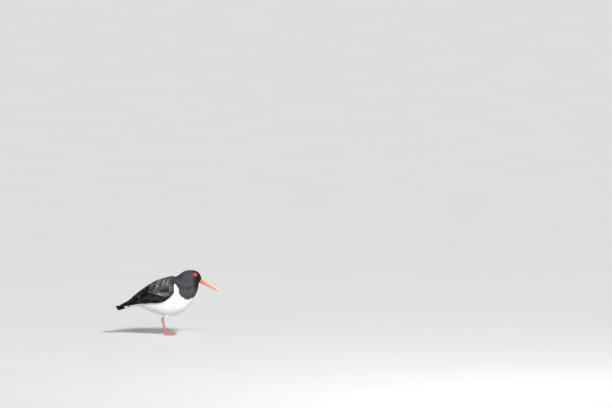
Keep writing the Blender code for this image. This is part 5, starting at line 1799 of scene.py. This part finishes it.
def build_lids(word, point, gaze):
    """A ring round the gaze: a circle carried round another, its tube wrinkled by two waves and drawn out
    into the head below its middle."""
    level, up = eye_axes(gaze)
    turn, round_ = once_round(RING_SIDES)[:, None], once_round(TUBE_SIDES)
    wave = 1 + 0.030 * np.sin(29 * turn + np.sin(5 * turn)) + 0.025 * np.sin(47 * turn + 3 * round_)
    tube = RING_TUBE * wave
    radius = RING_RADIUS + tube * np.cos(round_)
    out = np.cos(turn)[..., None] * level + np.sin(turn)[..., None] * up
    rise = tube * np.sin(round_) * np.where(np.sin(round_) < 0, LID_SKIRT, 1)
    points = point - gaze * RING_SINK + out * radius[..., None] + gaze * rise[..., None]
    grid = np.arange(turn.size * round_.size).reshape(turn.size, round_.size)
    beyond, beside = np.roll(grid, -1, axis=0), np.roll(grid, -1, axis=1)
    both = np.roll(beside, -1, axis=0)
    corners = np.stack([grid, beyond, both, beside], axis=-1).ravel()
    return mesh_of(f"lid_ring_{word}", points, corners, np.full(grid.size, 4))


for word, (point, gaze) in eyes.items():
    centre, pupil_reach = point - gaze * EYE_DEPTH, math.asin(PUPIL_RADIUS / EYE_RADIUS)
    eyeball = dome(f"eyeball_{word}", centre, gaze, EYE_RADIUS, EYE_REACH, EYE_SINK)
    disc = dome(f"pupil_dome_{word}", centre, gaze, EYE_RADIUS + PUPIL_RISE, pupil_reach, PUPIL_SINK)
    piece(eyeball, iris_finish, "red_eye", f"eye_{word}")
    piece(disc, pupil_finish, "black_pupil", f"pupil_{word}")
    piece(build_lids(word, point, gaze), lid_finish, "orange_eyelid", f"eyelids_{word}")

# %% [markdown]
# The bird stands on a plain pale floor. A backdrop with a bend would do for one view, but the bird is looked
# at from all round. So the floor is one wide sheet at the height of the feet, with hardly any pattern.

# %% The floor
FLOOR_HALF, FLOOR_DARK, FLOOR_LIGHT = 45.0, (0.70, 0.70, 0.69), (0.74, 0.735, 0.72)


def build_floor():
    """Four corners, wide enough to fill the view of a long lens."""
    corners = [(-1, -1, 0), (1, -1, 0), (1, 1, 0), (-1, 1, 0)]
    obj = mesh_of("floor", FLOOR_HALF * np.array(corners), np.arange(4), np.array([4]), smooth=False)
    n = Nodes("floor")
    n.set(Base_Color=n.mix(n.noise(3.0), FLOOR_DARK, FLOOR_LIGHT), Roughness=0.85)
    obj.data.materials.append(n.material)


build_floor()
print("the floor is", 2 * FLOOR_HALF, "m wide")

# %% [markdown]
# The photo's light is the sun from the bird's front and above, softened by haze, and a bright sky. An area
# light near the bird would fall off across it. So the main light is a distant one with a wide disc, a weak
# area light fills the breast's shadows, and an even pale surround stands for the sky.

# %% The light
SUN_FROM, SUN_STRENGTH, SUN_WIDTH = (0.50, -0.90, 1.00), 2.85, math.radians(12)
GLOW_SIZE, GLOW_POWER, GLOW_FROM, GLOW_AIM = 1.8, 14.0, (1.2, -2.0, 1.2), (0, 0, 0.12)
SKY, SKY_STRENGTH = (0.93, 0.95, 1.0, 1), 0.42


def placed(name, data, direction, axis):
    """An object of the scene, turned so that one of its axes points along the direction."""
    obj = bpy.data.objects.new(name, data)
    bpy.context.scene.collection.objects.link(obj)
    obj.rotation_mode = "QUATERNION"
    obj.rotation_quaternion = Vector(direction).to_track_quat(axis, "Y")
    return obj


def build_lights():
    """Rays from one direction with the soft shadows of a wide disc, and a square light that isn't itself
    seen."""
    sun = bpy.data.lights.new("main", "SUN")
    sun.energy, sun.angle = SUN_STRENGTH, SUN_WIDTH
    placed("main", sun, SUN_FROM, "Z")
    glow = bpy.data.lights.new("glow", "AREA")
    glow.size, glow.energy = GLOW_SIZE, GLOW_POWER
    obj = placed("glow", glow, unit(np.array(GLOW_FROM) - np.array(GLOW_AIM)), "Z")
    obj.location, obj.visible_camera = GLOW_FROM, False


build_lights()
surround = bpy.data.worlds.new("surround")
surround.use_nodes = True
sky = surround.node_tree.nodes["Background"].inputs
sky["Color"].default_value, sky["Strength"].default_value = SKY, SKY_STRENGTH
bpy.context.scene.world = surround
bpy.context.scene.view_settings.view_transform = "Standard"
print("lights:", *bpy.data.lights.keys())

# %% [markdown]
# The photo was taken from the bird's right side, a little above it, with a long lens. Moving the camera to
# frame the bird would change the view's slope. So only its aim is moved, sideways and up, until the bird
# falls where the photo has it.

# %% The camera
CAMERA_ELEVATION = math.radians(5.5)
CAMERA_DISTANCE, LENS, SENSOR, FARTHEST = 29.75, 500.0, 36.0, 200.0
PHOTO_ORIGIN, PHOTO_SIZE, METRES_PER_PIXEL, AIM_HEIGHT = (167.4, 293.27), (612, 408), 0.0035, 0.145


def build_camera():
    """Looks along +Y and a little down. The aim is moved so that the bird falls where the photo has it: right
    and up by its distance in pixels from the picture's middle, times the size of a pixel there."""
    right = np.array([1.0, 0, 0])
    back = np.array([0, -math.cos(CAMERA_ELEVATION), math.sin(CAMERA_ELEVATION)])
    up = np.cross(back, right)
    shift_right = (PHOTO_SIZE[0] / 2 - PHOTO_ORIGIN[0]) * METRES_PER_PIXEL
    shift_up = (PHOTO_ORIGIN[1] - PHOTO_SIZE[1] / 2) * METRES_PER_PIXEL
    aim = np.array([0, 0, AIM_HEIGHT]) + right * shift_right + up * shift_up
    data = bpy.data.cameras.new("camera")
    data.lens, data.sensor_width, data.clip_end = LENS, SENSOR, FARTHEST
    camera = placed("camera", data, -back, "-Z")
    camera.location = aim + back * CAMERA_DISTANCE
    bpy.context.scene.camera = camera


build_camera()
print("camera", CAMERA_DISTANCE, "m away with a lens of", LENS, "mm")

# %% [markdown]
# A dressed bird must not outgrow its solids.
